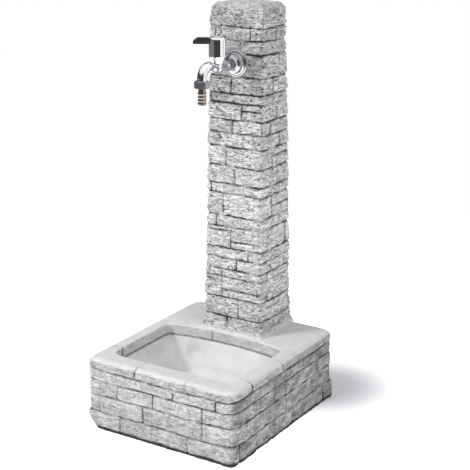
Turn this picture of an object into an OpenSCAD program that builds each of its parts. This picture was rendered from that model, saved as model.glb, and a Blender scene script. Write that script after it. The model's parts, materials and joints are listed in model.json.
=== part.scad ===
// Garden water post: a cast stone basin block, a tapered column and a lever bib tap.
// Millimetres. X to the right, Y to the back, Z up, origin under the middle of the block.

/* [Basin block] */
// Width of the basin block
base_w = 420; // [360:1:560]
// Depth of the basin block, front to back
base_d = 480; // [440:1:640]
// Height of the basin block
base_h = 184; // [160:1:240]
// Radius of the block's upright corners
base_corner_r = 26; // [10:1:40]
// Rounding of the block's top edges
base_edge_r = 14; // [4:1:20]
// Height of the bevel round the block's foot
foot_bevel = 8; // [2:1:12]

/* [Bowl] */
// Width of the rim at each side of the bowl
rim_side = 40; // [30:1:60]
// Width of the rim in front of the bowl
rim_front = 52; // [30:1:80]
// Ledge between the back of the bowl and the column
ledge = 15; // [14:1:40]
// Radius of the long curve at the back of the bowl
bowl_back_r = 700; // [400:10:1200]
// Corner radius of the bowl's mouth
bowl_corner_r = 32; // [15:1:60]
// Height of the rough band round the top of the bowl
rim_band_h = 27; // [15:1:40]
// Width of the step under that band
rim_step = 7; // [2:1:12]
// Depth of the bowl below the rim
bowl_depth = 118; // [90:1:122]
// How far the bowl's walls lean in towards the floor
bowl_draft = 24; // [5:1:40]
// Radius between the bowl's walls and its floor
bowl_floor_r = 34; // [10:1:50]

/* [Column] */
// Height of the whole post
total_h = 1000; // [900:1:1300]
// Width of the column at its foot
col_foot_w = 168; // [150:1:220]
// Depth of the column at its foot
col_foot_d = 154; // [140:1:200]
// Width of the column at its top
col_top_w = 148; // [130:1:200]
// Depth of the column at its top
col_top_d = 107; // [100:1:180]
// Rounding of the column's top edges
col_edge_r = 18; // [4:1:24]
// Distance of the column's back from the block's back
col_inset = 2; // [2:0.5:10]
// Thickness of the mortar bed under the column
bed_t = 3; // [2:0.5:6]
// Width and height of the mortar fillet round the column's foot
cove = 12; // [6:1:13]

/* [Dowels] */
// Diameter of the dowels between block and column
dowel_d = 12; // [8:1:16]
// Length of each dowel
dowel_l = 120; // [80:5:160]
// Distance from the centre line to each dowel
dowel_x = 58; // [50:1:62]

/* [Pipe chase] */
// Width of the chase in the column's back
chase_w = 60; // [58:1:70]
// Thickness of stone between the tap's seat and the chase
web_t = 45; // [35:1:50]
// Height of the chase above the tap
chase_above = 52; // [40:1:80]
// Width of the cover's lap on each side of the chase
cover_lap = 13; // [10:1:18]
// Thickness of the cover sheet
cover_t = 2; // [1:0.5:2.5]
// Depth of the rebate that the cover lies in
rebate_d = 3; // [2:0.5:4]
// Number of screws on each side of the cover
cover_rows = 4; // [2:1:6]

/* [Feed] */
// Outside diameter of the riser pipe
pipe_d = 15; // [12:1:18]
// Wall thickness of the riser pipe
pipe_wall = 0.7; // [0.6:0.1:1]
// Distance from the chase's wall to the riser
pipe_off = 25; // [22:1:28]
// Diameter of the pipe passage through the block
passage_d = 40; // [38:1:50]
// Height of the riser's end above the ground
pipe_end_h = 4; // [3:1:10]
// Number of pipe clips
clip_count = 3; // [2:1:5]

/* [Waste] */
// Diameter of the waste's flange
waste_flange_d = 64; // [56:1:80]
// Outside diameter of the waste's threaded tail
waste_tail_d = 40; // [36:1:48]
// Outside diameter of the spigot at the waste's end
waste_spigot_d = 32; // [30:1:34]
// Length of that spigot
waste_spigot_l = 18; // [12:1:20]
// Diameter of the pocket under the bowl
pocket_d = 92; // [80:1:110]
// Thickness of stone under the waste's flange
slab_t = 24; // [18:1:30]

/* [Tap] */
// Height of the tap's axis above the ground
tap_z = 861; // [760:1:1100]
// Distance from the stone to the handle's axis
hub_reach = 78; // [70:1:90]
// Distance from the stone to the outlet's axis
outlet_reach = 144; // [138:1:170]
// Diameter of the tap's threaded shank
shank_d = 20.9; // [20:0.1:21]
// Outside diameter of the tap's barrel
barrel_d = 20; // [18:0.5:24]
// Outside diameter of the spout
spout_d = 23; // [20:0.5:25]
// Radius of the spout's bend
bend_r = 27; // [22:1:32]
// Drop from the tap's axis to the end of the outlet
outlet_drop = 28.5; // [24:0.5:34]
// Diameter of the bell flange
bell_d = 64; // [56:1:70]
// Depth of the bell flange
bell_l = 20; // [16:1:24]

/* [Handle] */
// Diameter of the handle's cup
hub_d = 41; // [38:0.5:46]
// Height of the handle's cup
hub_h = 61; // [56:1:66]
// Height of the cup's lower taper
hub_taper_h = 16; // [10:1:18]
// Length of the lever from the handle's axis
lever_l = 57; // [45:1:75]
// Height of the lever
lever_h = 15; // [12:0.5:16]
// Width of the lever
lever_w = 13; // [11:0.5:16]
// Angle of the lever from the spout's line
lever_angle = 60; // [0:1:90]

/* [Hose union] */
// Width across flats of the union nut
nut_af = 32; // [31:0.5:36]
// Height of the union nut
nut_h = 17; // [15:0.5:20]
// Diameter of the outlet's thread
outlet_thread_d = 26.4; // [26:0.1:26.6]
// Diameter over the barbs of the hose tail
tail_d = 20.4; // [18:0.1:20.8]
// Length of the hose tail below the nut
tail_l = 39; // [30:1:50]
// Number of barbs on the hose tail
barbs = 4; // [3:1:6]

/* [Fits] */
// Radial play between parts that turn in each other
running = 0.05; // [0.02:0.01:0.1]
// Radial play of loose and grouted parts
loose = 0.4; // [0.2:0.1:1]

/* [Hidden] */
$fn = 64;
eps = 1;

col_back_y = base_d / 2 - col_inset;
col_y = col_back_y - col_foot_d / 2;
col_h = total_h - base_h;
back_tilt = atan((col_foot_d - col_top_d) / 2 / col_h);

function col_w(z) = col_foot_w + (col_top_w - col_foot_w) * (z - base_h) / col_h;
function col_d(z) = col_foot_d + (col_top_d - col_foot_d) * (z - base_h) / col_h;
function col_front(z) = col_y - col_d(z) / 2;

bowl_x = base_w / 2 - rim_side;
bowl_front = rim_front - base_d / 2;
bowl_back = col_front(base_h) - ledge;
floor_z = base_h - bowl_depth;

seat_d = 1.5;
seat_y = col_front(tap_z) + seat_d;
gasket_t = 1;
face_y = seat_y - gasket_t;
chase_y = seat_y + web_t;
chase_top = tap_z + chase_above;
pipe_y = chase_y + pipe_off;
pipe_r = pipe_d / 2;

gasket_ring_t = 2;
flange_t = 4;
waste_y = (bowl_front + bowl_back) / 2;
waste_bore_r = waste_spigot_d / 2 - 2.5;
recess_z = floor_z - flange_t - gasket_ring_t;
slab_z = recess_z - slab_t;
locknut_h = 10;
locknut_z = slab_z - gasket_ring_t - locknut_h;
spigot_z = locknut_z - waste_spigot_l;
strainer_t = 2.5;
strainer_r = waste_tail_d / 2 + 1.5;

cover_w = chase_w + 2 * cover_lap;
cover_foot = bed_t + 2;
cover_h = (chase_top - base_h) / cos(back_tilt) + cover_lap - cover_foot;
cover_screw_x = (chase_w + cover_lap) / 2 + 0.5;
cover_screw_inset = 30;
cover_pitch = (cover_h - 2 * cover_screw_inset) / (cover_rows - 1);
screw_head_r = 3.6;
screw_head_h = 1.6;
screw_r = 1.9;
screw_point = 4;
wall_head_r = 4;
wall_head_h = 2.4;
plug_r = 3.5;
plug_l = 24;
plug_spare = 1;

water_r = 5;
elbow_r = 13.5;
elbow_plate_t = 4;
elbow_screw_x = 21.5;
socket_l = 14;
port_r = pipe_r + 3;
port_l = 30;
pipe_socket_l = 15;
pipe_top = tap_z - port_l + pipe_socket_l;
comp_nut_af = 2 * port_r + 3;
comp_nut_h = 19;
comp_nut_overlap = 10;
olive_h = 7;
olive_edge = 0.8;
olive_rise = 2;
olive_gap = 0.5;
connector_h = 34;
connector_af = 27;
connector_thread_r = 9.32;
connector_thread_l = 14;
connector_stop = 4;
pipe_foot = pipe_end_h + connector_thread_l + connector_stop;
clip_h = 12;
clip_w = 16;
clip_jaw_t = 3.2;
clip_free_l = 60;
clip_pitch = (pipe_top - clip_free_l - base_h) / clip_count;
clip_screw_y = pipe_y - pipe_r - 4;

nipple_r = 13;
nipple_clear = 1.5;
shank_l = 14;
collar_l = 14;
collar_af = 25;
barrel_r = barrel_d / 2;
neck_r = barrel_r + 1.8;
neck_top = 24;
chamber_r = 9;
chamber_z = 7;
seal_h = 2;
disc_h = 3;
disc_r = 7.5;
disc_port_r = 2.2;
shell_r = chamber_r - running;
foot_h = 3;
shell_z = chamber_z + seal_h;
disc_z = shell_z;
foot_z = disc_z + 2 * disc_h;
spindle_r = 4;
spindle_sq = 5.6;
headwork_hex_h = 4;
headwork_af = 21;
headwork_top = neck_top + 18;
clip_t = 1;
spindle_top = headwork_top + 14;
seal_ring_r = 0.9;

hub_z = barrel_r + 1.5;
hub_r = hub_d / 2;
hub_top = hub_z + hub_h;
hub_mouth_r = neck_r + 1;
boss_z = headwork_top + 5;
cap_r = 8;
cap_t = 2;
screw_seat_z = spindle_top + 3;
handle_screw_r = 2;
handle_screw_l = 14;
lever_z = hub_top - lever_h - 1.5;
tenon_r = 11;
tenon_l = hub_r - tenon_r;
tenon_gap = 0.1;

bend_z = -outlet_drop + 10.5;
bend_x = outlet_reach - bend_r;
rise_x = hub_reach + 16;
rise_d = sqrt(pow(bend_x - rise_x, 2) + pow(bend_z, 2));
rise_a = asin(bend_r / rise_d) - atan(-bend_z / (bend_x - rise_x));
rise_l = sqrt(pow(rise_d, 2) - pow(bend_r, 2));
spout_r = spout_d / 2;
spout_bore_r = 7;
thread_r = outlet_thread_d / 2;
thread_l = 8.5;
washer_t = 2.5;
nut_top = -outlet_drop + thread_l - 0.5;
nut_z = nut_top - nut_h;
tail_flange_t = 2.5;
tail_top = -outlet_drop - washer_t;
tail_bore_r = 6.5;
tail_neck_r = tail_d / 2 - 1.4;
barb_l = 3.2;
barb_land = 1.6;
barb_rise = 1.2;
tail_z = nut_z - tail_l;
barb_pitch = (tail_l - 8) / barbs;

// Points on an arc, both ends included.
function arc(cx, cy, r, a0, a1, n = 8) =
    [for (i = [0:n]) let (a = a0 + (a1 - a0) * i / n) [cx + r * cos(a), cy + r * sin(a)]];

// Rectangle from (x0, y0) to (x1, y1) with round corners.
module round_rect(x0, y0, x1, y1, r) {
    polygon(concat(
        arc(x1 - r, y1 - r, r, 0, 90),
        arc(x0 + r, y1 - r, r, 90, 180),
        arc(x0 + r, y0 + r, r, 180, 270),
        arc(x1 - r, y0 + r, r, 270, 360)
    ));
}

// A profile drawn in X and Z, extruded along Y from y0 to y1.
module along_y(y0, y1) {
    translate([0, y1, 0])
        rotate([90, 0, 0])
        linear_extrude(y1 - y0)
        children();
}

// A profile drawn in Y and Z, extruded along X from -x to x.
module along_x(x) {
    translate([-x, 0, 0])
        rotate([90, 0, 90])
        linear_extrude(2 * x)
        children();
}

// A round bar along Y.
module bar_y(r, y0, y1) {
    translate([0, y1, 0])
        rotate([90, 0, 0])
        cylinder(r = r, h = y1 - y0);
}

// A hexagonal prism, flats to +X and -X.
module hex(af, h) {
    rotate([0, 0, 30])
        cylinder(d = af / cos(30), h = h, $fn = 6);
}

// A torus round Z.
module ring(r, section_r) {
    rotate_extrude()
        translate([r, 0])
        circle(r = section_r);
}

// The tap's own frame: X out from the stone, Z up, origin on its axis at the flange.
module tap_frame() {
    translate([0, face_y, tap_z])
        rotate([0, 0, -90])
        children();
}

// The frame of the column's back face: Y out of the face, Z up along it.
module back_frame() {
    translate([0, col_back_y, base_h])
        rotate([back_tilt, 0, 0])
        children();
}

// One side elevation of the block: bevelled foot and round top edges.
module block_profile(a, b) {
    polygon(concat(
        [[a + foot_bevel, 0], [b - foot_bevel, 0], [b, foot_bevel]],
        arc(b - base_edge_r, base_h - base_edge_r, base_edge_r, 0, 90),
        arc(a + base_edge_r, base_h - base_edge_r, base_edge_r, 90, 180),
        [[a, foot_bevel]]
    ));
}

module bowl_outline(inset) {
    intersection() {
        round_rect(-bowl_x + inset, bowl_front + inset, bowl_x - inset, bowl_back - inset,
            bowl_corner_r);
        translate([0, bowl_back - bowl_back_r])
            circle(r = bowl_back_r - inset, $fn = 180);
    }
}

// Elevation of the smooth part of the bowl: walls that lean in to a rounded floor.
module bowl_profile(a, b) {
    lean = bowl_draft;
    polygon(concat(
        [[b, base_h - rim_band_h], [a, base_h - rim_band_h]],
        arc(a + lean + bowl_floor_r, floor_z + bowl_floor_r, bowl_floor_r, 180, 270),
        arc(b - lean - bowl_floor_r, floor_z + bowl_floor_r, bowl_floor_r, 270, 360)
    ));
}

module bowl_cut() {
    translate([0, 0, base_h - rim_band_h])
        linear_extrude(rim_band_h + eps)
        bowl_outline(0);
    intersection() {
        translate([0, 0, floor_z])
            linear_extrude(bowl_depth - rim_band_h)
            bowl_outline(rim_step);
        along_y(bowl_front, bowl_back)
            bowl_profile(-bowl_x + rim_step, bowl_x - rim_step);
        along_x(bowl_x)
            bowl_profile(bowl_front + rim_step, bowl_back - rim_step);
    }
}

module dowel_holes() {
    for (side = [-1, 1])
        translate([side * dowel_x, col_y, base_h - dowel_l / 2])
        cylinder(r = dowel_d / 2 + loose, h = dowel_l + loose);
}

module chase_cut() {
    translate([-chase_w / 2, chase_y, base_h - eps])
        cube([chase_w, base_d, chase_top - base_h + eps]);
}

// The column's solid shape down to height z0, without its chase.
module column_shape(z0) {
    shoulder = total_h - col_edge_r;
    intersection() {
        along_y(col_y - col_foot_d, col_y + col_foot_d)
            polygon(concat(
                [[-col_w(z0) / 2, z0], [col_w(z0) / 2, z0]],
                arc(col_w(shoulder) / 2 - col_edge_r, shoulder, col_edge_r, 0, 90),
                arc(col_edge_r - col_w(shoulder) / 2, shoulder, col_edge_r, 90, 180)
            ));
        along_x(col_foot_w)
            translate([col_y, 0])
            polygon(concat(
                [[-col_d(z0) / 2, z0], [col_d(z0) / 2, z0]],
                arc(col_d(shoulder) / 2 - col_edge_r, shoulder, col_edge_r, 0, 90),
                arc(col_edge_r - col_d(shoulder) / 2, shoulder, col_edge_r, 90, 180)
            ));
    }
}

module base_block() {
    color("gainsboro")
    difference() {
        intersection() {
            linear_extrude(base_h)
                round_rect(-base_w / 2, -base_d / 2, base_w / 2, base_d / 2, base_corner_r);
            along_y(-base_d, base_d)
                block_profile(-base_w / 2, base_w / 2);
            along_x(base_w)
                block_profile(-base_d / 2, base_d / 2);
        }
        bowl_cut();
        dowel_holes();
        translate([0, pipe_y, -eps])
            cylinder(d = passage_d, h = base_h + 2 * eps);
        translate([0, waste_y, recess_z])
            cylinder(r = waste_flange_d / 2 + loose, h = bowl_depth);
        translate([0, waste_y, -eps])
            cylinder(r = waste_tail_d / 2 + 1, h = base_h);
        translate([0, waste_y, -eps])
            cylinder(d = pocket_d, h = slab_z + eps);
    }
}

module column() {
    color("lightgray")
    difference() {
        column_shape(base_h + bed_t);
        chase_cut();
        dowel_holes();
        back_frame()
            translate([-cover_w / 2 - loose, -rebate_d, 0])
            cube([cover_w + 2 * loose, base_d, cover_foot + cover_h + loose]);
        plug_holes_cover();
        plug_holes_clips();
        plug_holes_elbow();
        tap_frame()
            rotate([0, 90, 0])
            translate([0, 0, -gasket_t])
            cylinder(r = bell_d / 2 + loose, h = base_d);
        translate([0, 0, tap_z])
            bar_y(nipple_r + nipple_clear, seat_y - eps, chase_y + eps);
    }
}

module mortar_joint() {
    front = col_front(base_h);
    back = col_back_y - 1;
    color("darkgray")
    difference() {
        intersection() {
            along_y(front - cove, back)
                polygon([
                    [-col_foot_w / 2 - cove, base_h], [col_foot_w / 2 + cove, base_h],
                    [col_foot_w / 2, base_h + cove], [-col_foot_w / 2, base_h + cove]
                ]);
            along_x(col_foot_w)
                polygon([
                    [front - cove, base_h], [back, base_h],
                    [back, base_h + cove], [front, base_h + cove]
                ]);
        }
        column_shape(base_h + bed_t);
        chase_cut();
        dowel_holes();
    }
}

module dowel_pins() {
    color("silver")
    for (side = [-1, 1])
        translate([side * dowel_x, col_y, base_h - dowel_l / 2])
        cylinder(d = dowel_d, h = dowel_l);
}

module at_cover_screws() {
    back_frame()
        for (side = [-1, 1], i = [0:cover_rows - 1])
        translate([side * cover_screw_x, -rebate_d, cover_foot + cover_screw_inset + i * cover_pitch])
        rotate([-90, 0, 0])
        children();
}

module plug_holes_cover() {
    at_cover_screws()
        translate([0, 0, -plug_l - plug_spare])
        cylinder(r = plug_r, h = plug_l + plug_spare + eps);
}

module service_cover() {
    color("gray")
    difference() {
        back_frame()
            translate([-cover_w / 2, -rebate_d, cover_foot])
            cube([cover_w, cover_t, cover_h]);
        at_cover_screws()
            translate([0, 0, -eps])
            cylinder(r = screw_r + loose, h = cover_t + 2 * eps);
    }
}

// A pan-head screw whose head seats at height 0.
module wood_screw(length, head_r, head_h) {
    cylinder(r = head_r, h = head_h);
    translate([0, 0, screw_point - length])
        cylinder(r = screw_r, h = length - screw_point);
    translate([0, 0, -length])
        cylinder(r1 = 0.4, r2 = screw_r, h = screw_point);
}

// A hollow wall plug whose mouth is at height 0.
module wall_plug(length) {
    difference() {
        translate([0, 0, -length])
            cylinder(r = plug_r - running, h = length);
        translate([0, 0, -length + 1])
            cylinder(r = screw_r + running, h = length);
    }
}

module cover_screws() {
    color("silver")
    at_cover_screws()
        translate([0, 0, cover_t])
        wood_screw(plug_l, screw_head_r, screw_head_h);
}

module cover_plugs() {
    color("ivory")
    at_cover_screws()
        wall_plug(plug_l);
}

module waste_body() {
    color("silver")
    translate([0, waste_y, 0])
    difference() {
        union() {
            translate([0, 0, recess_z + gasket_ring_t])
                cylinder(d = waste_flange_d, h = flange_t);
            translate([0, 0, locknut_z])
                cylinder(d = waste_tail_d, h = floor_z - locknut_z - 1);
            translate([0, 0, spigot_z])
                cylinder(d = waste_spigot_d, h = floor_z - spigot_z - 1);
        }
        translate([0, 0, spigot_z - eps])
            cylinder(r = waste_bore_r, h = bowl_depth);
        translate([0, 0, floor_z - strainer_t])
            cylinder(r = strainer_r + loose, h = bowl_depth);
    }
}

// A flat ring round the waste, from height z up.
module waste_ring(outer_r, z, h) {
    translate([0, waste_y, z])
    difference() {
        cylinder(r = outer_r, h = h);
        translate([0, 0, -eps])
            cylinder(r = waste_tail_d / 2 + running, h = h + 2 * eps);
    }
}

module waste_gasket() {
    color("dimgray")
    waste_ring(waste_flange_d / 2, recess_z, gasket_ring_t);
}

module waste_washer() {
    color("dimgray")
    waste_ring(waste_flange_d / 2, slab_z - gasket_ring_t, gasket_ring_t);
}

module waste_locknut() {
    color("goldenrod")
    translate([0, waste_y, locknut_z])
    difference() {
        hex(waste_tail_d + 12, locknut_h);
        translate([0, 0, -eps])
            cylinder(r = waste_tail_d / 2 + running, h = locknut_h + 2 * eps);
    }
}

module drain_strainer() {
    hole_r = 2.2;
    inner_ring_r = strainer_r * 0.38;
    outer_ring_r = strainer_r * 0.68;
    knob_r = 4.5;
    knob_h = 3;
    neck_h = 4;
    color("silver")
    translate([0, waste_y, floor_z - strainer_t])
    difference() {
        union() {
            cylinder(r = strainer_r, h = strainer_t);
            cylinder(r = knob_r / 2, h = strainer_t + neck_h);
            translate([0, 0, strainer_t + neck_h - 1])
                cylinder(r = knob_r, h = knob_h);
        }
        for (i = [0:5])
            rotate([0, 0, i * 60])
            translate([inner_ring_r, 0, -eps])
            cylinder(r = hole_r, h = strainer_t + 2 * eps, $fn = 24);
        for (i = [0:9])
            rotate([0, 0, i * 36])
            translate([outer_ring_r, 0, -eps])
            cylinder(r = hole_r, h = strainer_t + 2 * eps, $fn = 24);
    }
}

module feed_connector() {
    color("goldenrod")
    translate([0, pipe_y, pipe_end_h])
    difference() {
        hex(connector_af, connector_h);
        translate([0, 0, -eps])
            cylinder(r = connector_thread_r, h = connector_thread_l + eps);
        translate([0, 0, -eps])
            cylinder(r = pipe_r - pipe_wall, h = connector_h);
        translate([0, 0, connector_thread_l + connector_stop])
            cylinder(r = pipe_r + running, h = connector_h);
    }
}

module riser_pipe() {
    color("peru")
    translate([0, pipe_y, pipe_foot])
    difference() {
        cylinder(r = pipe_r, h = pipe_top - pipe_foot);
        translate([0, 0, -eps])
            cylinder(r = pipe_r - pipe_wall, h = pipe_top - pipe_foot + 2 * eps);
    }
}

module at_clips() {
    for (i = [0:clip_count - 1])
        translate([0, 0, base_h + (i + 0.5) * clip_pitch])
        children();
}

module pipe_clips() {
    jaw_r = pipe_r + clip_jaw_t;
    color("white")
    at_clips()
    difference() {
        union() {
            translate([-clip_w / 2, chase_y, -clip_h / 2])
                cube([clip_w, pipe_off, clip_h]);
            translate([0, pipe_y, -clip_h / 2])
                cylinder(r = jaw_r, h = clip_h);
        }
        translate([0, pipe_y, -clip_h / 2 - eps])
            cylinder(r = pipe_r + running, h = clip_h + 2 * eps);
        translate([-pipe_r * 0.7, pipe_y, -clip_h])
            cube([pipe_r * 1.4, pipe_d, 2 * clip_h]);
        bar_y(wall_head_r + loose / 2, clip_screw_y, pipe_y);
        bar_y(screw_r + running, chase_y - eps, pipe_y);
    }
}

module clip_screws() {
    color("silver")
    at_clips()
        translate([0, clip_screw_y, 0])
        rotate([-90, 0, 0])
        wood_screw(plug_l + 2 * screw_point, wall_head_r, wall_head_h);
}

module clip_plugs() {
    color("ivory")
    at_clips()
        translate([0, chase_y, 0])
        rotate([-90, 0, 0])
        wall_plug(plug_l);
}

module plug_holes_clips() {
    at_clips()
        bar_y(plug_r, chase_y - plug_l - plug_spare, chase_y + eps);
}

module at_elbow_screws() {
    for (side = [-1, 1])
        translate([side * elbow_screw_x, 0, tap_z])
        children();
}

module wall_elbow() {
    color("goldenrod")
    difference() {
        union() {
            translate([-chase_w / 2 + 2, chase_y, tap_z - elbow_r - 2])
                cube([chase_w - 4, elbow_plate_t, 2 * elbow_r + 4]);
            translate([0, 0, tap_z])
                bar_y(elbow_r, chase_y, pipe_y);
            translate([0, pipe_y, tap_z])
                sphere(r = elbow_r);
            translate([0, pipe_y, tap_z - port_l])
                cylinder(r = port_r, h = port_l);
        }
        translate([0, 0, tap_z])
            bar_y(shank_d / 2, chase_y - eps, chase_y + socket_l);
        translate([0, 0, tap_z])
            bar_y(water_r, chase_y - eps, pipe_y);
        translate([0, pipe_y, tap_z])
            sphere(r = water_r);
        translate([0, pipe_y, tap_z - port_l - eps])
            cylinder(r = water_r, h = port_l + eps);
        translate([0, pipe_y, tap_z - port_l - eps])
            cylinder(r = pipe_r + running, h = pipe_socket_l + eps);
        at_elbow_screws()
            bar_y(screw_r + loose, chase_y - eps, chase_y + elbow_plate_t + eps);
    }
}

module elbow_screws() {
    color("silver")
    at_elbow_screws()
        translate([0, chase_y + elbow_plate_t, 0])
        rotate([-90, 0, 0])
        wood_screw(plug_l + 3, wall_head_r, wall_head_h);
}

module elbow_plugs() {
    color("ivory")
    at_elbow_screws()
        translate([0, chase_y, 0])
        rotate([-90, 0, 0])
        wall_plug(plug_l);
}

module plug_holes_elbow() {
    at_elbow_screws()
        bar_y(plug_r, chase_y - plug_l - plug_spare, chase_y + eps);
}

module compression_nut() {
    bottom = tap_z - port_l + comp_nut_overlap - comp_nut_h;
    color("goldenrod")
    translate([0, pipe_y, bottom])
    difference() {
        hex(comp_nut_af, comp_nut_h);
        translate([0, 0, comp_nut_h - comp_nut_overlap - olive_h - olive_gap])
            cylinder(r = port_r + running, h = comp_nut_h);
        translate([0, 0, -eps])
            cylinder(r = pipe_r + running, h = comp_nut_h);
    }
}

module compression_olive() {
    color("gold")
    translate([0, pipe_y, tap_z - port_l - olive_h - olive_gap / 2])
    difference() {
        union() {
            cylinder(r1 = pipe_r + olive_edge, r2 = pipe_r + olive_rise, h = olive_h / 2);
            translate([0, 0, olive_h / 2])
                cylinder(r1 = pipe_r + olive_rise, r2 = pipe_r + olive_edge, h = olive_h / 2);
        }
        translate([0, 0, -eps])
            cylinder(r = pipe_r + running, h = olive_h + 2 * eps);
    }
}

module extension_nipple() {
    front = seat_y + 1;
    color("goldenrod")
    translate([0, 0, tap_z])
    difference() {
        union() {
            bar_y(nipple_r, front, chase_y - 0.2);
            bar_y(shank_d / 2 - running, front, chase_y + socket_l - 0.5);
        }
        bar_y(shank_d / 2 + running, front - eps, front + shank_l + 1);
        bar_y(water_r, front - eps, chase_y + socket_l + eps);
    }
}

module flange_gasket() {
    color("dimgray")
    tap_frame()
    rotate([0, -90, 0])
    difference() {
        cylinder(r = bell_d / 2 - 1, h = gasket_t);
        translate([0, 0, -eps])
            cylinder(r = shank_d / 2 + 1, h = gasket_t + 2 * eps);
    }
}

module escutcheon() {
    lip = 2.4;
    step_r = bell_d * 0.305;
    hole_r = shank_d / 2 + running;
    sweep_r = bell_d / 2 - step_r - 1;
    sweep_h = sweep_r * 0.75;
    round_r = 3;
    color("silver")
    tap_frame()
    rotate([0, 90, 0])
    rotate_extrude()
    polygon(concat(
        [[hole_r, 0], [bell_d / 2, 0], [bell_d / 2, lip]],
        arc(bell_d / 2 - 1, lip + sweep_h, sweep_h, 270, 180, 10),
        [[step_r, lip + sweep_h + 2]],
        arc(step_r - round_r, bell_l - round_r, round_r, 0, 90, 6),
        [[hole_r, bell_l]]
    ));
}

module tap_body() {
    collar_end = bell_l + collar_l;
    color("silver")
    tap_frame()
    difference() {
        union() {
            rotate([0, 90, 0])
                translate([0, 0, -shank_l])
                cylinder(r = shank_d / 2, h = shank_l + bell_l + 1);
            translate([bell_l, 0, 0])
                rotate([0, 90, 0])
                hex(collar_af, collar_l);
            rotate([0, 90, 0])
                translate([0, 0, bell_l])
                cylinder(r = barrel_r, h = rise_x - bell_l);
            translate([collar_end, 0, 0])
                rotate([0, 90, 0])
                cylinder(r1 = collar_af / 2 - 0.5, r2 = barrel_r, h = 5);
            translate([hub_reach, 0, 0])
                cylinder(r = neck_r, h = neck_top);
            translate([hub_reach, 0, 0])
                sphere(r = neck_r);
            translate([rise_x, 0, 0])
                sphere(r = barrel_r);
            translate([rise_x, 0, 0])
                rotate([0, 90 - rise_a, 0])
                cylinder(r1 = barrel_r, r2 = spout_r, h = rise_l);
            translate([bend_x, 0, bend_z])
                rotate([90, 0, 0])
                rotate_extrude(angle = 90 + rise_a)
                translate([bend_r, 0])
                circle(r = spout_r);
            translate([outlet_reach, 0, -outlet_drop + thread_l])
                cylinder(r = spout_r, h = bend_z + outlet_drop - thread_l);
            translate([outlet_reach, 0, -outlet_drop])
                cylinder(r = thread_r, h = thread_l);
        }
        rotate([0, 90, 0])
            translate([0, 0, -shank_l - eps])
            cylinder(r = water_r, h = shank_l + eps + hub_reach + 2);
        translate([hub_reach, 0, chamber_z])
            cylinder(r = chamber_r, h = neck_top);
        translate([hub_reach, 0, 0])
            cylinder(r = 4, h = neck_top);
        translate([bend_x, 0, bend_z])
            rotate([90, 0, 0])
            rotate_extrude(angle = 90 + rise_a)
            translate([bend_r, 0])
            circle(r = spout_bore_r);
        translate([outlet_reach, 0, -outlet_drop - eps])
            cylinder(r = spout_bore_r, h = bend_z + outlet_drop + eps);
        outlet_passage();
    }
}

// The way from the cartridge's side to the spout's bend.
module outlet_passage() {
    start_x = hub_reach + 6.5;
    start_z = chamber_z + 2;
    end_x = bend_x - bend_r * sin(rise_a);
    end_z = bend_z + bend_r * cos(rise_a);
    slope = atan((end_z - start_z) / (end_x - start_x));
    translate([start_x, 0, start_z])
        rotate([0, 90 - slope, 0])
        cylinder(r = 3.6, h = norm([end_x - start_x, end_z - start_z]) + 1);
}

module hub_frame() {
    tap_frame()
        translate([hub_reach, 0, 0])
        children();
}

module headwork() {
    color("goldenrod")
    hub_frame()
    difference() {
        union() {
            translate([0, 0, shell_z])
                cylinder(r = shell_r, h = neck_top - shell_z);
            translate([0, 0, neck_top])
                hex(headwork_af, headwork_hex_h);
            translate([0, 0, neck_top])
                cylinder(r = shell_r, h = headwork_top - neck_top);
        }
        translate([0, 0, shell_z - eps])
            cylinder(r = disc_r + running, h = foot_z + foot_h + running - shell_z + eps);
        translate([0, 0, shell_z])
            cylinder(r = spindle_r + running, h = headwork_top);
        for (z = spindle_ring_z())
            translate([0, 0, z - seal_ring_r - running])
            cylinder(r = spindle_r + 2 * seal_ring_r + 2 * running, h = 2 * (seal_ring_r + running));
        translate([0, 0, neck_top - 3])
            difference() {
                cylinder(r = chamber_r + eps, h = 2 * seal_ring_r);
                cylinder(r = chamber_r - 1.8, h = 2 * seal_ring_r);
            }
        translate([0, 0, foot_z - 1])
            rotate([0, 90, 0])
            cylinder(r = 2, h = chamber_r + eps);
    }
}

function spindle_ring_z() = [neck_top + 7, neck_top + 12];

module headwork_oring() {
    color("black")
    hub_frame()
    translate([0, 0, neck_top - 3 + seal_ring_r])
    ring(chamber_r - 0.02 - seal_ring_r * 0.95, seal_ring_r * 0.95);
}

module seat_seal() {
    color("black")
    hub_frame()
    translate([0, 0, chamber_z])
    difference() {
        cylinder(r = chamber_r - running, h = seal_h);
        translate([0, 0, -eps])
            cylinder(r = 4, h = seal_h + 2 * eps);
    }
}

// A ceramic disc with two quarter ports.
module valve_disc(z) {
    hub_frame()
    translate([0, 0, z])
    difference() {
        cylinder(r = disc_r, h = disc_h);
        for (side = [-1, 1])
            translate([side * 3.6, 0, -eps])
            cylinder(r = disc_port_r, h = disc_h + 2 * eps, $fn = 24);
    }
}

module fixed_disc() {
    color("white")
    valve_disc(disc_z);
}

module moving_disc() {
    color("linen")
    valve_disc(disc_z + disc_h);
}

module spindle() {
    color("gold")
    hub_frame()
    difference() {
        union() {
            translate([0, 0, foot_z])
                cylinder(r = disc_r - 0.1, h = foot_h);
            translate([0, 0, foot_z])
                cylinder(r = spindle_r, h = headwork_top + clip_t + 0.6 - foot_z);
            rotate([0, 0, -lever_angle])
                translate([-spindle_sq / 2, -spindle_sq / 2, foot_z])
                cube([spindle_sq, spindle_sq, spindle_top - foot_z]);
        }
        translate([0, 0, headwork_top + 0.2])
            difference() {
                cylinder(r = spindle_r + 1, h = clip_t);
                cylinder(r = spindle_r - 0.8, h = clip_t);
            }
        translate([0, 0, spindle_top - handle_screw_l + 2])
            cylinder(r = handle_screw_r + running, h = handle_screw_l);
    }
}

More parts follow.
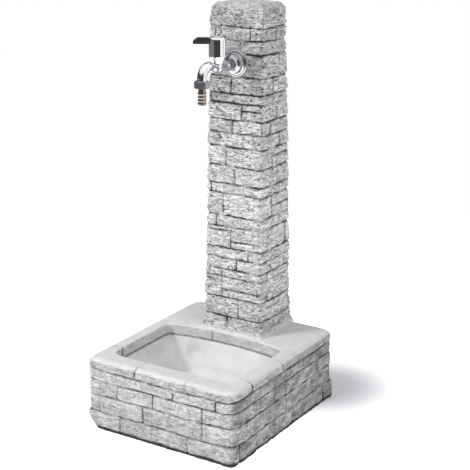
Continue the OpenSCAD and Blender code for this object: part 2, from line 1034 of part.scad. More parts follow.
module spindle_orings() {
    color("black")
    hub_frame()
    for (z = spindle_ring_z())
        translate([0, 0, z])
        ring(spindle_r + seal_ring_r + running, seal_ring_r);
}

module spindle_clip() {
    color("silver")
    hub_frame()
    translate([0, 0, headwork_top + 0.2])
    difference() {
        cylinder(r = spindle_r + 2, h = clip_t);
        translate([0, 0, -eps])
            cylinder(r = spindle_r - 0.8 + running, h = clip_t + 2 * eps);
        rotate([0, 0, -lever_angle])
            translate([0, -1.8, -eps])
            cube([spindle_r + 3, 3.6, clip_t + 2 * eps]);
    }
}

module handle_hub() {
    top_r = hub_r - 6;
    color("silver")
    hub_frame()
    rotate([0, 0, -lever_angle])
    difference() {
        translate([0, 0, hub_z])
            rotate_extrude()
            polygon(concat(
                [[0, 0], [hub_mouth_r + 1.6, 0], [hub_r, hub_taper_h]],
                arc(hub_r - 4, hub_h - 4, 4, 0, 70, 6),
                [[top_r, hub_h], [0, hub_h]]
            ));
        translate([0, 0, hub_z - eps])
            cylinder(r = hub_mouth_r, h = boss_z - hub_z + eps);
        translate([0, 0, hub_z + hub_taper_h])
            cylinder(r = hub_r - 3.5, h = boss_z - hub_z - hub_taper_h);
        translate([-spindle_sq / 2 - tenon_gap, -spindle_sq / 2 - tenon_gap, boss_z - eps])
            cube([spindle_sq + 2 * tenon_gap, spindle_sq + 2 * tenon_gap,
                spindle_top + 0.5 - boss_z + eps]);
        translate([0, 0, boss_z])
            cylinder(r = handle_screw_r + loose / 2, h = hub_h);
        translate([0, 0, screw_seat_z])
            cylinder(r = cap_r, h = hub_h);
        translate([tenon_r - tenon_gap, -lever_w / 2 + 1.4, lever_z + 1.4])
            cube([hub_r, lever_w - 2.8, lever_h - 2.8]);
    }
}

module lever() {
    tip_cut = 5;
    color("black")
    hub_frame()
    rotate([0, 0, -lever_angle])
    union() {
        difference() {
            intersection() {
                along_y(-lever_w, lever_w)
                    polygon([
                        [tenon_r, lever_z], [lever_l - 1.5, lever_z],
                        [lever_l, lever_z + 1.5], [lever_l, lever_z + lever_h - tip_cut],
                        [lever_l - tip_cut, lever_z + lever_h], [tenon_r, lever_z + lever_h]
                    ]);
                translate([0, 0, lever_z])
                    linear_extrude(lever_h)
                    round_rect(0, -lever_w / 2, lever_l, lever_w / 2, 4);
            }
            cylinder(r = hub_r + running, h = 2 * hub_top);
        }
        translate([tenon_r, -lever_w / 2 + 1.5, lever_z + 1.5])
            cube([tenon_l + 2, lever_w - 3, lever_h - 3]);
    }
}

module handle_screw() {
    color("silver")
    hub_frame()
    difference() {
        union() {
            translate([0, 0, screw_seat_z - handle_screw_l])
                cylinder(r = handle_screw_r, h = handle_screw_l);
            translate([0, 0, screw_seat_z])
                cylinder(r = 3.8, h = 3);
        }
        translate([0, 0, screw_seat_z + 1])
            hex(2.5, 3);
    }
}

module index_cap() {
    color("silver")
    hub_frame()
    translate([0, 0, hub_top - cap_t - 0.4])
    union() {
        cylinder(r = cap_r - running, h = cap_t);
        translate([0, 0, -3])
            difference() {
                cylinder(r = cap_r - running, h = 3);
                translate([0, 0, -eps])
                    cylinder(r = cap_r - 1.5, h = 3 + eps);
            }
    }
}

module outlet_frame() {
    tap_frame()
        translate([outlet_reach, 0, 0])
        children();
}

module union_nut() {
    shoulder = 3;
    chamfer = 1.6;
    corner_r = nut_af * 0.58;
    color("gray")
    outlet_frame()
    difference() {
        intersection() {
            translate([0, 0, nut_z])
                hex(nut_af, nut_h);
            translate([0, 0, nut_z])
                rotate_extrude()
                polygon([
                    [0, 0], [nut_af / 2, 0], [corner_r, chamfer],
                    [corner_r, nut_h - chamfer], [nut_af / 2, nut_h], [0, nut_h]
                ]);
        }
        translate([0, 0, nut_z + shoulder])
            cylinder(r = thread_r + running, h = nut_h);
        translate([0, 0, nut_z - eps])
            cylinder(r = tail_d / 2 + 0.6, h = nut_h);
    }
}

module union_washer() {
    color("black")
    outlet_frame()
    translate([0, 0, -outlet_drop - washer_t])
    difference() {
        cylinder(r = thread_r - 0.6, h = washer_t);
        translate([0, 0, -eps])
            cylinder(r = tail_bore_r, h = washer_t + 2 * eps);
    }
}

module hose_tail() {
    neck_top_z = tail_top - tail_flange_t;
    cone_l = barb_pitch - barb_l - barb_land;
    color("darkkhaki")
    outlet_frame()
    difference() {
        union() {
            translate([0, 0, neck_top_z])
                cylinder(r = thread_r - 0.6, h = tail_flange_t);
            translate([0, 0, tail_z + 1])
                cylinder(r = tail_neck_r, h = neck_top_z - tail_z - 1);
            for (i = [0:barbs - 1])
                translate([0, 0, tail_z + i * barb_pitch]) {
                    translate([0, 0, cone_l])
                        cylinder(r = tail_d / 2, h = barb_l);
                    cylinder(r1 = tail_d / 2 - barb_rise, r2 = tail_d / 2, h = cone_l);
                }
        }
        translate([0, 0, tail_z - eps])
            cylinder(r = tail_bore_r, h = tail_l + nut_h + eps);
    }
}

base_block();
column();
mortar_joint();
dowel_pins();
service_cover();
cover_screws();
cover_plugs();
waste_body();
waste_gasket();
waste_washer();
waste_locknut();
drain_strainer();
feed_connector();
riser_pipe();
pipe_clips();
clip_screws();
clip_plugs();
wall_elbow();
elbow_screws();
elbow_plugs();
compression_nut();
compression_olive();
extension_nipple();
flange_gasket();
escutcheon();
tap_body();
headwork();
headwork_oring();
seat_seal();
fixed_disc();
moving_disc();
spindle();
spindle_orings();
spindle_clip();
handle_hub();
lever();
handle_screw();
index_cap();
union_nut();
union_washer();
hose_tail();
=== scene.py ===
"""Visual model of a garden water post: a cast stone basin block, a coursed column and a lever bib tap.

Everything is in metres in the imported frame: X to the right, Y to the back, Z up.
"""

import sys

import json
import logging
import math
from dataclasses import dataclass, field
from enum import Enum
from itertools import pairwise, product
from typing import Callable, Iterable, Sequence

import bmesh
import bpy
import numpy as np
from mathutils import Matrix, Vector


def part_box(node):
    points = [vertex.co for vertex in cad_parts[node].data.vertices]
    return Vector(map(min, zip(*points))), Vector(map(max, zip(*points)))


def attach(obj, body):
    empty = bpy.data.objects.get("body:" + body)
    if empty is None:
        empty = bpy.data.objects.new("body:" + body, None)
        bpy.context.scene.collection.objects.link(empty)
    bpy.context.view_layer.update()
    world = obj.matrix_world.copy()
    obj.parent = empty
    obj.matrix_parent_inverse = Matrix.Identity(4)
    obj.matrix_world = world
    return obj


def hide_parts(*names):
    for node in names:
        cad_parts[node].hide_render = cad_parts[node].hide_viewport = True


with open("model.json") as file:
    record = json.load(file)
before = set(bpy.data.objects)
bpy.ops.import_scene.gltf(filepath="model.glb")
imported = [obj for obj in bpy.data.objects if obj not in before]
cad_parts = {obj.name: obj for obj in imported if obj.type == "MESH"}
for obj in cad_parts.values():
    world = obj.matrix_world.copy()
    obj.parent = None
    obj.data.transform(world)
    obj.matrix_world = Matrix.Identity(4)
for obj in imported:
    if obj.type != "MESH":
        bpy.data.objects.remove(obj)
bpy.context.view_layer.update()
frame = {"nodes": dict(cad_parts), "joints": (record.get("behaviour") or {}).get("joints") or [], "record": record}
LOG = logging.getLogger("water_post")
MM = 0.001
MOST_OF_SIDE = 0.49
BLACK, WHITE = (0.0, 0.0, 0.0), (1.0, 1.0, 1.0)

Profile = list[tuple[float, float]]
Rounding = list[tuple[float, float, float]]
Colour = tuple[float, float, float]
Element = bmesh.types.BMVert | bmesh.types.BMEdge | bmesh.types.BMFace


# --------------------------------------------------------------------------- modelling


class Bench:
    """Models one piece at a time with Blender's own operators."""

    @staticmethod
    def clear() -> None:
        """Leaves edit mode and deselects everything."""
        if bpy.context.object and bpy.context.object.mode != "OBJECT":
            bpy.ops.object.mode_set(mode="OBJECT")
        bpy.ops.object.select_all(action="DESELECT")

    @staticmethod
    def focus(obj: bpy.types.Object) -> None:
        """Makes one object the only selected one and the active one.

        Args:
            obj: The object.
        """
        Bench.clear()
        obj.select_set(True)
        bpy.context.view_layer.objects.active = obj

    @staticmethod
    def adopt(name: str) -> bpy.types.Object:
        """Names the primitive that was just added.

        Args:
            name: The piece's name.

        Returns:
            The new object, with its transform applied.
        """
        obj = bpy.context.object
        bpy.ops.object.transform_apply(location=True, rotation=True, scale=True)
        obj.name = name
        obj.data.name = name
        return obj

    @staticmethod
    def block(name: str, low: Sequence[float], high: Sequence[float]) -> bpy.types.Object:
        """Adds a cuboid.

        Args:
            name: The piece's name.
            low: Its lowest corner.
            high: Its highest corner.

        Returns:
            The new object.
        """
        Bench.clear()
        middle = [(a + b) / 2 for a, b in zip(low, high)]
        extent = [b - a for a, b in zip(low, high)]
        bpy.ops.mesh.primitive_cube_add(size=1, location=middle, scale=extent)
        return Bench.adopt(name)

    @staticmethod
    def rod(name: str, radius: float, start: Vector, end: Vector, sides: int = 64) -> bpy.types.Object:
        """Adds a cylinder between two points.

        Args:
            name: The piece's name.
            radius: Its radius, over its corners where it has few sides.
            start: The middle of one end.
            end: The middle of the other end.
            sides: Number of sides.

        Returns:
            The new object.
        """
        Bench.clear()
        axis = end - start
        turn = axis.to_track_quat("Z", "Y").to_euler()
        bpy.ops.mesh.primitive_cylinder_add(
            vertices=sides, radius=radius, depth=axis.length, location=(start + end) / 2, rotation=turn
        )
        return Bench.adopt(name)

    @staticmethod
    def pick(obj: bpy.types.Object, mode: str, test: Callable[[Vector, Element], object]) -> None:
        """Enters edit mode with only the elements that pass a test selected.

        Args:
            obj: The piece.
            mode: VERT, EDGE or FACE.
            test: Called with an element's middle and the element.
        """
        Bench.focus(obj)
        bpy.ops.object.mode_set(mode="EDIT")
        bpy.ops.mesh.select_mode(type=mode)
        bpy.ops.mesh.select_all(action="DESELECT")
        mesh = bmesh.from_edit_mesh(obj.data)
        group = {"VERT": mesh.verts, "EDGE": mesh.edges, "FACE": mesh.faces}[mode]
        for item in group:
            if mode == "VERT":
                middle = item.co
            elif mode == "EDGE":
                middle = (item.verts[0].co + item.verts[1].co) / 2
            else:
                middle = item.calc_center_median()
            item.select_set(bool(test(middle, item)))
        mesh.select_flush_mode()
        bmesh.update_edit_mesh(obj.data)

    @staticmethod
    def bevel(offset: float, segments: int) -> None:
        """Rounds the selected edges and leaves edit mode."""
        bpy.ops.mesh.bevel(offset=offset, segments=segments, affect="EDGES")
        bpy.ops.object.mode_set(mode="OBJECT")

    @staticmethod
    def apply(obj: bpy.types.Object, kind: str, **settings: object) -> bpy.types.Object:
        """Adds a modifier and applies it.

        Args:
            obj: The piece.
            kind: The modifier's type.
            settings: The modifier's own settings.

        Returns:
            The same piece.
        """
        Bench.focus(obj)
        modifier = obj.modifiers.new(kind.title(), kind)
        for key, value in settings.items():
            setattr(modifier, key, value)
        bpy.ops.object.modifier_apply(modifier=modifier.name)
        return obj

    @staticmethod
    def cut(obj: bpy.types.Object, *cutters: bpy.types.Object) -> bpy.types.Object:
        """Takes the cutters' shapes out of a piece and deletes them."""
        return Bench._combine(obj, "DIFFERENCE", cutters)

    @staticmethod
    def weld(obj: bpy.types.Object, *others: bpy.types.Object) -> bpy.types.Object:
        """Joins other closed shapes to a piece and deletes them."""
        return Bench._combine(obj, "UNION", others)

    @staticmethod
    def trim(obj: bpy.types.Object, *others: bpy.types.Object) -> bpy.types.Object:
        """Keeps what a piece and the others share and deletes the others."""
        return Bench._combine(obj, "INTERSECT", others)

    @staticmethod
    def _combine(
        obj: bpy.types.Object, operation: str, others: Iterable[bpy.types.Object]
    ) -> bpy.types.Object:
        """Applies one Boolean for each of the other shapes.

        Args:
            obj: The piece.
            operation: DIFFERENCE, UNION or INTERSECT.
            others: The other closed shapes, which are deleted.

        Returns:
            The same piece.
        """
        for other in others:
            Bench.apply(obj, "BOOLEAN", operation=operation, object=other, solver="EXACT")
            bpy.data.objects.remove(other)
        return obj

    @staticmethod
    def close(obj: bpy.types.Object) -> bpy.types.Object:
        """Turns every face of the piece in edit mode outwards and leaves edit mode.

        Args:
            obj: The piece.

        Returns:
            The same piece.
        """
        bpy.ops.mesh.select_all(action="SELECT")
        bpy.ops.mesh.normals_make_consistent(inside=False)
        bpy.ops.object.mode_set(mode="OBJECT")
        return obj

    @staticmethod
    def turned(name: str, outline: Profile, steps: int = 96) -> bpy.types.Object:
        """Turns an outline round Z by extruding and scaling a ring.

        Args:
            name: The piece's name.
            outline: Radius and height pairs. A radius of 0 closes an end, and an
                outline that ends where it starts makes a closed ring.
            steps: Number of sides.

        Returns:
            The closed piece.
        """
        Bench.clear()
        ring_shape = outline[0] == outline[-1]
        points = [p for p in outline if p[0] > 0]
        radius, height = points[0]
        bpy.ops.mesh.primitive_circle_add(
            vertices=steps, radius=radius, location=(0, 0, height), fill_type="NOTHING"
        )
        obj = Bench.adopt(name)
        bpy.ops.object.mode_set(mode="EDIT")
        bpy.ops.mesh.select_mode(type="VERT")
        bpy.ops.mesh.select_all(action="SELECT")
        if not ring_shape:
            bpy.ops.mesh.edge_face_add()
            bpy.ops.mesh.select_all(action="SELECT")
        for (r0, z0), (r1, z1) in pairwise(points):
            bpy.ops.mesh.extrude_region_move(TRANSFORM_OT_translate={"value": (0, 0, z1 - z0)})
            scale = r1 / r0
            bpy.ops.transform.resize(value=(scale, scale, 1), center_override=(0, 0, z1))
        if ring_shape:
            bpy.ops.mesh.select_all(action="SELECT")
            bpy.ops.mesh.remove_doubles(threshold=1e-7)
        return Bench.close(obj)

    @staticmethod
    def swept(
        name: str, path: Sequence[Vector], radii: Sequence[float], sides: int = 48
    ) -> bpy.types.Object:
        """Sweeps a circle along a path that lies in the X and Z plane.

        Args:
            name: The piece's name.
            path: The path's points.
            radii: The radius at each point.
            sides: Number of sides.

        Returns:
            The closed piece.
        """
        Bench.clear()
        steps = [b - a for a, b in pairwise(path)]
        ways = [steps[0]] + [a.normalized() + b.normalized() for a, b in pairwise(steps)]
        turns = [math.atan2(-way.z, way.x) for way in ways + [steps[-1]]]
        bpy.ops.mesh.primitive_circle_add(
            vertices=sides,
            radius=radii[0],
            location=path[0],
            rotation=(0, math.pi / 2 + turns[0], 0),
            fill_type="NGON",
        )
        obj = Bench.adopt(name)
        bpy.ops.object.mode_set(mode="EDIT")
        bpy.ops.mesh.select_mode(type="VERT")
        bpy.ops.mesh.select_all(action="SELECT")
        for index in range(1, len(path)):
            bpy.ops.mesh.extrude_region_move(
                TRANSFORM_OT_translate={"value": path[index] - path[index - 1]}
            )
            scale = radii[index] / radii[index - 1]
            bpy.ops.transform.rotate(
                value=turns[index - 1] - turns[index],
                orient_axis="Y",
                orient_type="GLOBAL",
                center_override=path[index],
            )
            bpy.ops.transform.resize(value=(scale,) * 3, center_override=path[index])
        return Bench.close(obj)

    @staticmethod
    def ball(name: str, radius: float, at: Vector) -> bpy.types.Object:
        """Adds a sphere.

        Args:
            name: The piece's name.
            radius: Its radius.
            at: Its middle.

        Returns:
            The new object.
        """
        Bench.clear()
        bpy.ops.mesh.primitive_uv_sphere_add(segments=64, ring_count=32, radius=radius, location=at)
        return Bench.adopt(name)

    @staticmethod
    def place(obj: bpy.types.Object, matrix: Matrix) -> None:
        """Moves a piece's mesh, so that the object itself stays at the origin."""
        obj.data.transform(matrix)
        obj.data.update()

    @staticmethod
    def smooth(obj: bpy.types.Object, degrees: float) -> None:
        """Shades smooth across edges flatter than an angle."""
        Bench.focus(obj)
        bpy.ops.object.shade_smooth_by_angle(angle=math.radians(degrees))


def upright(_: Vector, edge: Element) -> bool:
    """Whether an edge runs upwards."""
    return abs(edge.verts[0].co.z - edge.verts[1].co.z) > MM


def bearing(x: float, y: float) -> float:
    """The direction of a point in plan, from 0 to a full turn."""
    return math.atan2(y, x) % (2 * math.pi)


def rounded(corners: Rounding, segments: int = 5) -> Profile:
    """Rounds the corners of an outline with arcs.

    Args:
        corners: Radius, height and corner rounding for each point.
        segments: Arc segments at each rounded corner.

    Returns:
        The outline's points.
    """
    out: Profile = []
    for index, (r, z, fillet) in enumerate(corners):
        here = Vector((r, z))
        if fillet <= 0 or index in (0, len(corners) - 1):
            out.append((r, z))
            continue
        before = Vector(corners[index - 1][:2]) - here
        after = Vector(corners[index + 1][:2]) - here
        half = before.angle(after) / 2
        most = MOST_OF_SIDE * min(before.length, after.length)
        reach = min(fillet / math.tan(half), most)
        start = here + before.normalized() * reach
        end = here + after.normalized() * reach
        for step in range(segments + 1):
            t = step / segments
            point = start * (1 - t) ** 2 + here * 2 * t * (1 - t) + end * t * t
            out.append((point.x, point.y))
    return out


def ride(obj: bpy.types.Object, body: str, slot: str, *nodes: str) -> bpy.types.Object:
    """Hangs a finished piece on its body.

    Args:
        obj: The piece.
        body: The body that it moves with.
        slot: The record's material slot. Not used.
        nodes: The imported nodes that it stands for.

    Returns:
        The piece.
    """
    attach(obj, body)
    if nodes:
        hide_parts(*nodes)
    LOG.info("%s: %d faces on %s", obj.name, len(obj.data.polygons), body)
    return obj


# --------------------------------------------------------------------------- relief


class Grain:
    """Repeatable smooth noise in space, worked out for many points at once."""

    def __init__(self, seed: int) -> None:
        """Fills the table of gradients.

        Args:
            seed: The seed of the random directions.
        """
        draw = np.random.default_rng(seed)
        table = draw.normal(size=(1024, 3))
        self.table = table / np.linalg.norm(table, axis=1, keepdims=True)

    def _corner(self, cell: np.ndarray) -> np.ndarray:
        """The gradient at whole-number points.

        Args:
            cell: The points.

        Returns:
            One direction for each point.
        """
        key = cell[:, 0] * 374761393 + cell[:, 1] * 668265263 + cell[:, 2] * 2147483647
        key = (key ^ (key >> 13)) * 1274126177
        return self.table[(key ^ (key >> 16)) & 1023]

    def noise(self, points: np.ndarray) -> np.ndarray:
        """Gradient noise.

        Args:
            points: The places, with a cell of 1.

        Returns:
            Values of about -1 to 1.
        """
        cell = np.floor(points).astype(np.int64)
        part = points - cell
        ease = part**3 * (part * (part * 6 - 15) + 10)
        total = np.zeros(len(points))
        for corner in product((0, 1), repeat=3):
            offset = np.array(corner)
            weight = np.prod(np.where(offset, ease, 1 - ease), axis=1)
            total += weight * np.einsum("ij,ij->i", self._corner(cell + offset), part - offset)
        return total * 1.6

    def layers(self, points: np.ndarray, octaves: int, gain: float = 0.5) -> np.ndarray:
        """Several octaves of noise added up.

        Args:
            points: The places.
            octaves: How many octaves.
            gain: The strength of each octave against the one before.

        Returns:
            The sum at each place.
        """
        total, weight, scale = np.zeros(len(points)), 1.0, 1.0
        for octave in range(octaves):
            total += weight * self.noise(points * scale + octave * 17.3)
            weight *= gain
            scale *= 2.03
        return total

    def ridges(self, points: np.ndarray, octaves: int) -> np.ndarray:
        """Sharp crests between smooth hollows.

        Args:
            points: The places.
            octaves: How many octaves.

        Returns:
            Values from 0 to about 1.
        """
        total, weight, scale = np.zeros(len(points)), 0.6, 1.0
        for octave in range(octaves):
            total += weight * (1 - np.abs(self.noise(points * scale + octave * 9.1)) * 1.4)
            weight *= 0.5
            scale *= 2.1
        return total

    def cloud(
        self,
        points: np.ndarray,
        stretch: tuple[float, float, float],
        gain: float,
        middle: float = 0.5,
        shift: float = 0.0,
    ) -> np.ndarray:
        """Soft patches.

        Args:
            points: The places.
            stretch: Cells for each metre along X, Y and Z.
            gain: How far the patches stand off their middle.
            middle: The middle value.
            shift: Moves the pattern on.

        Returns:
            Values from 0 to 1.
        """
        return np.clip(middle + gain * self.layers(points * np.array(stretch) + shift, 3), 0, 1)


def step_between(low: float, high: float, value: np.ndarray) -> np.ndarray:
    """A smooth step from 0 at low to 1 at high."""
    t = np.clip((value - low) / (high - low), 0, 1)
    return t * t * (3 - 2 * t)


class Face(Enum):
    """The four upright faces of a block of masonry."""

    FRONT = 0
    RIGHT = 1
    BACK = 2
    LEFT = 3


FacePoints = tuple[np.ndarray, np.ndarray, np.ndarray]


@dataclass(frozen=True)
class Course:
    """One course: its top's height in mm, its upright joints as shares of each face and
    how strongly the bed joint along its top is cut."""

    bed: float
    front: tuple[float, ...] = ()
    side: tuple[float, ...] = ()
    cut: float = 1.0


@dataclass(frozen=True)
class Split:
    """A short bed joint that runs over part of one face, in mm and shares of the face."""

    height: float
    face: Face
    start: float
    end: float


@dataclass
class Bond:
    """Lays joints out over the faces of a block and cuts them as relief."""

    courses: tuple[Course, ...]
    splits: tuple[Split, ...]
    seed: int
    joint_half: float = 2.4 * MM
    joint_depth: float = 4.4 * MM
    wander: float = 2.4 * MM
    batter: float = 2.6 * MM
    stone_offset: float = 2.6 * MM
    relief: float = 1.0
    other_side_shift: int = 5
    upright_thin: float = 1.25
    split_reach: float = 30 * MM
    shallowest: float = 8 * MM

    def uprights(self, face: Face, course: int) -> tuple[float, ...]:
        """The upright joints of one course on one face.

        Args:
            face: The face.
            course: The course's number from the top.

        Returns:
            Their places, as shares of the face's width.
        """
        count = len(self.courses)
        if face is Face.FRONT:
            return self.courses[course].front
        if face is Face.RIGHT:
            return self.courses[course].side
        shifted = self.courses[(course + self.other_side_shift) % count]
        return shifted.front if face is Face.BACK else shifted.side

    def measure(
        self, face: Face, along: np.ndarray, up: np.ndarray, width: np.ndarray
    ) -> tuple[np.ndarray, np.ndarray, np.ndarray]:
        """Finds the nearest joint and the stone of each point on one face.

        Args:
            face: The face.
            along: Distance along the face, in metres.
            up: Height, in metres.
            width: The face's width at each point.

        Returns:
            The distance to the nearest joint, a number for the stone, and how high
            in its course each point lies, from 0 to 1.
        """
        beds = np.array([c.bed for c in self.courses]) * MM
        cuts = np.array([c.cut for c in self.courses])
        reach = np.min(np.abs(up[:, None] - beds[1:]) / cuts[1:], axis=1)
        index = np.clip(np.searchsorted(-beds, -up, side="left") - 1, 0, len(beds) - 1)
        stone = index * 8.0 + face.value * 1000
        lower = beds[np.minimum(index + 1, len(beds) - 1)]
        rise = np.clip((up - lower) / np.maximum(beds[index] - lower, self.shallowest), 0, 1)
        for number in range(len(self.courses)):
            here = index == number
            if not here.any():
                continue
            marks = np.array(self.uprights(face, number))
            if not len(marks):
                continue
            gap = along[here][:, None] - marks * width[here][:, None]
            reach[here] = np.minimum(reach[here], np.abs(gap).min(axis=1) * self.upright_thin)
            stone[here] += (gap > 0).sum(axis=1)
        for split in self.splits:
            if split.face is not face:
                continue
            past = np.maximum(split.start * width - along, along - split.end * width)
            gap = np.hypot(np.maximum(past, 0), up - split.height * MM)
            near = gap < self.split_reach
            above = near & (past < 0) & (up > split.height * MM)
            below = near & (past < 0) & ~above
            reach = np.minimum(reach, gap)
            stone[above] += 0.5
            rise[above] = np.clip(rise[above] * 2 - 1, 0, 1)
            rise[below] = np.clip(rise[below] * 2, 0, 1)
        return reach, stone, rise

    def wandering(self, grain: Grain, points: np.ndarray, coarse: float, fine: float) -> np.ndarray:
        """Moves points about, so that the joints laid out from them wander.

        Args:
            grain: The noise to use.
            points: The vertices.
            coarse: Cells for each metre of the long waves.
            fine: Cells for each metre of the short waves.

        Returns:
            The moved points.
        """
        bend = np.stack([grain.noise(points * coarse + k * 7.7) for k in (1, 2, 3)], axis=1)
        short = np.stack([grain.noise(points * fine + k * 3.3) for k in (1, 2, 3)], axis=1)
        return points + (bend + 0.45 * short) * self.wander

    def lay(
        self, faces: dict[Face, FacePoints], up: np.ndarray
    ) -> tuple[np.ndarray, np.ndarray, np.ndarray]:
        """Finds the nearest joint and the stone of every vertex.

        Args:
            faces: Each face's vertices, with their distance along it and its width.
            up: Each vertex's height, in metres.

        Returns:
            What measure returns, for all the vertices.
        """
        reach, stone, rise = (np.full(len(up), v) for v in (1.0, 0.0, 0.5))
        for face, (here, along, span) in faces.items():
            reach[here], stone[here], rise[here] = self.measure(face, along[here], up[here], span[here])
        return reach, stone, rise


@dataclass
class Carving:
    """What the mason's relief does at each vertex, with painted shade in its hollows and painted highlights on its
    crests.
    """

    surface: np.ndarray
    groove: np.ndarray
    hollow: np.ndarray
    tone: np.ndarray

    def height(self, rough: np.ndarray, depth: float) -> np.ndarray:
        """The outward height where the rock face is worn to a share of its relief."""
        return self.surface * rough - depth * self.groove

    def recess(self, rough: np.ndarray) -> np.ndarray:
        """How dark each point is: its dark joints, plus painted shade in the hollows."""
        return np.clip(self.groove + self.hollow * rough * 0.75, 0, 1)


def carve_stone(
    grain: Grain, bond: Bond, points: np.ndarray, reach: np.ndarray, stone: np.ndarray, rise: np.ndarray
) -> Carving:
    """Works out rock-faced relief from joints and noise.

    Args:
        grain: The noise to use.
        bond: The joints' sizes.
        points: The vertices.
        reach: Distance to the nearest joint.
        stone: A number for each point's stone.
        rise: How high each point lies in its course, from 0 to 1.

    Returns:
        The outward height, the joints, painted shade in the hollows and each stone's tone with painted highlights
        on its crests and upper edges.
    """
    key = np.sin(stone * 12.9898 + bond.seed) * 43758.5453
    draw = key - np.floor(key)
    draw_b = (key * 7.13) - np.floor(key * 7.13)
    fade = 0.75 + 0.75 * grain.noise(points * 23 + 3.1)
    half = bond.joint_half * (0.85 + 0.5 * grain.noise(points * 60 + 9.7))
    groove = np.exp(-((reach / np.maximum(half, MM)) ** 2)) * np.clip(fade, 0.25, 1)
    pillow = 1 - np.exp(-reach / (4 * MM))
    flat = points * np.array([1.0, 1.0, 2.6])
    strata = grain.layers(flat * 48 + stone[:, None] * 0.37, 4, 0.6)
    chisel = grain.ridges(flat * 80 + stone[:, None] * 0.21 + 5.5, 3)
    pits = step_between(0.25, 0.6, grain.layers(flat * 105 + 31.7, 2))
    cracks = step_between(0.78, 0.97, grain.ridges(flat * 36 + 71.3, 2))
    rock = bond.relief * (1.45 * strata + 1.3 * (chisel - 0.6) - 1.7 * pits - 1.5 * cracks * pillow) * MM
    surface = (
        rock + 1.3 * MM * pillow + bond.stone_offset * (draw - 0.5) + bond.batter * (0.5 - rise) * pillow
    )
    # Painted shade: low spots of the rock face are darkened as if in shadow.
    hollow = step_between(0.9 * MM, 3.4 * MM, -rock)
    # Painted highlight: high spots and the upper part of each course are lightened as if lit from above.
    painted_highlight = np.clip(rock / (2.4 * MM), 0, 1) + 0.6 * step_between(0.62, 0.9, rise)
    return Carving(surface, groove, hollow, np.clip(draw_b * 0.55 + 0.5 * (1 - painted_highlight), 0, 1))


def write_attribute(obj: bpy.types.Object, name: str, values: np.ndarray) -> None:
    """Stores one number a vertex for the finish to read."""
    layer = obj.data.attributes.get(name) or obj.data.attributes.new(name, "FLOAT", "POINT")
    layer.data.foreach_set("value", values.astype(np.float32))


def read_mesh(obj: bpy.types.Object) -> tuple[np.ndarray, np.ndarray]:
    """Reads a mesh.

    Args:
        obj: The piece.

    Returns:
        The vertices and their normals, one row each.
    """
    count = len(obj.data.vertices)
    points, normals = np.empty(count * 3, np.float32), np.empty(count * 3, np.float32)
    obj.data.vertices.foreach_get("co", points)
    obj.data.vertex_normals.foreach_get("vector", normals)
    return points.reshape(-1, 3).astype(float), normals.reshape(-1, 3).astype(float)


def write_points(obj: bpy.types.Object, points: np.ndarray) -> None:
    """Puts moved vertices back in the mesh."""
    obj.data.vertices.foreach_set("co", points.astype(np.float32).ravel())
    obj.data.update()


# --------------------------------------------------------------------------- finishes


class Wire:
    """A node's output socket that takes part in arithmetic."""

    def __init__(self, graph: "Graph", socket: bpy.types.NodeSocket) -> None:
        """Keeps the socket and the graph that new nodes go into."""
        self.graph = graph
        self.socket = socket

    def _math(self, operation: str, first: object, second: object = None) -> "Wire":
        """Adds one Math node."""
        inputs = {0: first} if second is None else {0: first, 1: second}
        return self.graph.wire("ShaderNodeMath", {"operation": operation}, inputs)

    def __add__(self, other: object) -> "Wire":
        """This plus a value or wire."""
        return self._math("ADD", self, other)

    def __sub__(self, other: object) -> "Wire":
        """This minus a value or wire."""
        return self._math("SUBTRACT", self, other)

    def __rsub__(self, other: object) -> "Wire":
        """A value minus this."""
        return self._math("SUBTRACT", other, self)

    def __mul__(self, other: object) -> "Wire":
        """This times a value or wire."""
        return self._math("MULTIPLY", self, other)

    __radd__ = __add__
    __rmul__ = __mul__

    def absolute(self) -> "Wire":
        """This without its sign."""
        return self._math("ABSOLUTE", self)

    def clamped(self) -> "Wire":
        """This kept between 0 and 1."""
        return self.graph.wire("ShaderNodeClamp", {}, {"Value": self, "Min": 0.0, "Max": 1.0})

    def between(self, low: float, high: float) -> "Wire":
        """A smooth step from 0 at low to 1 at high."""
        return self.graph.wire(
            "ShaderNodeMapRange",
            {"interpolation_type": "SMOOTHSTEP"},
            {"Value": self, "From Min": low, "From Max": high},
        )


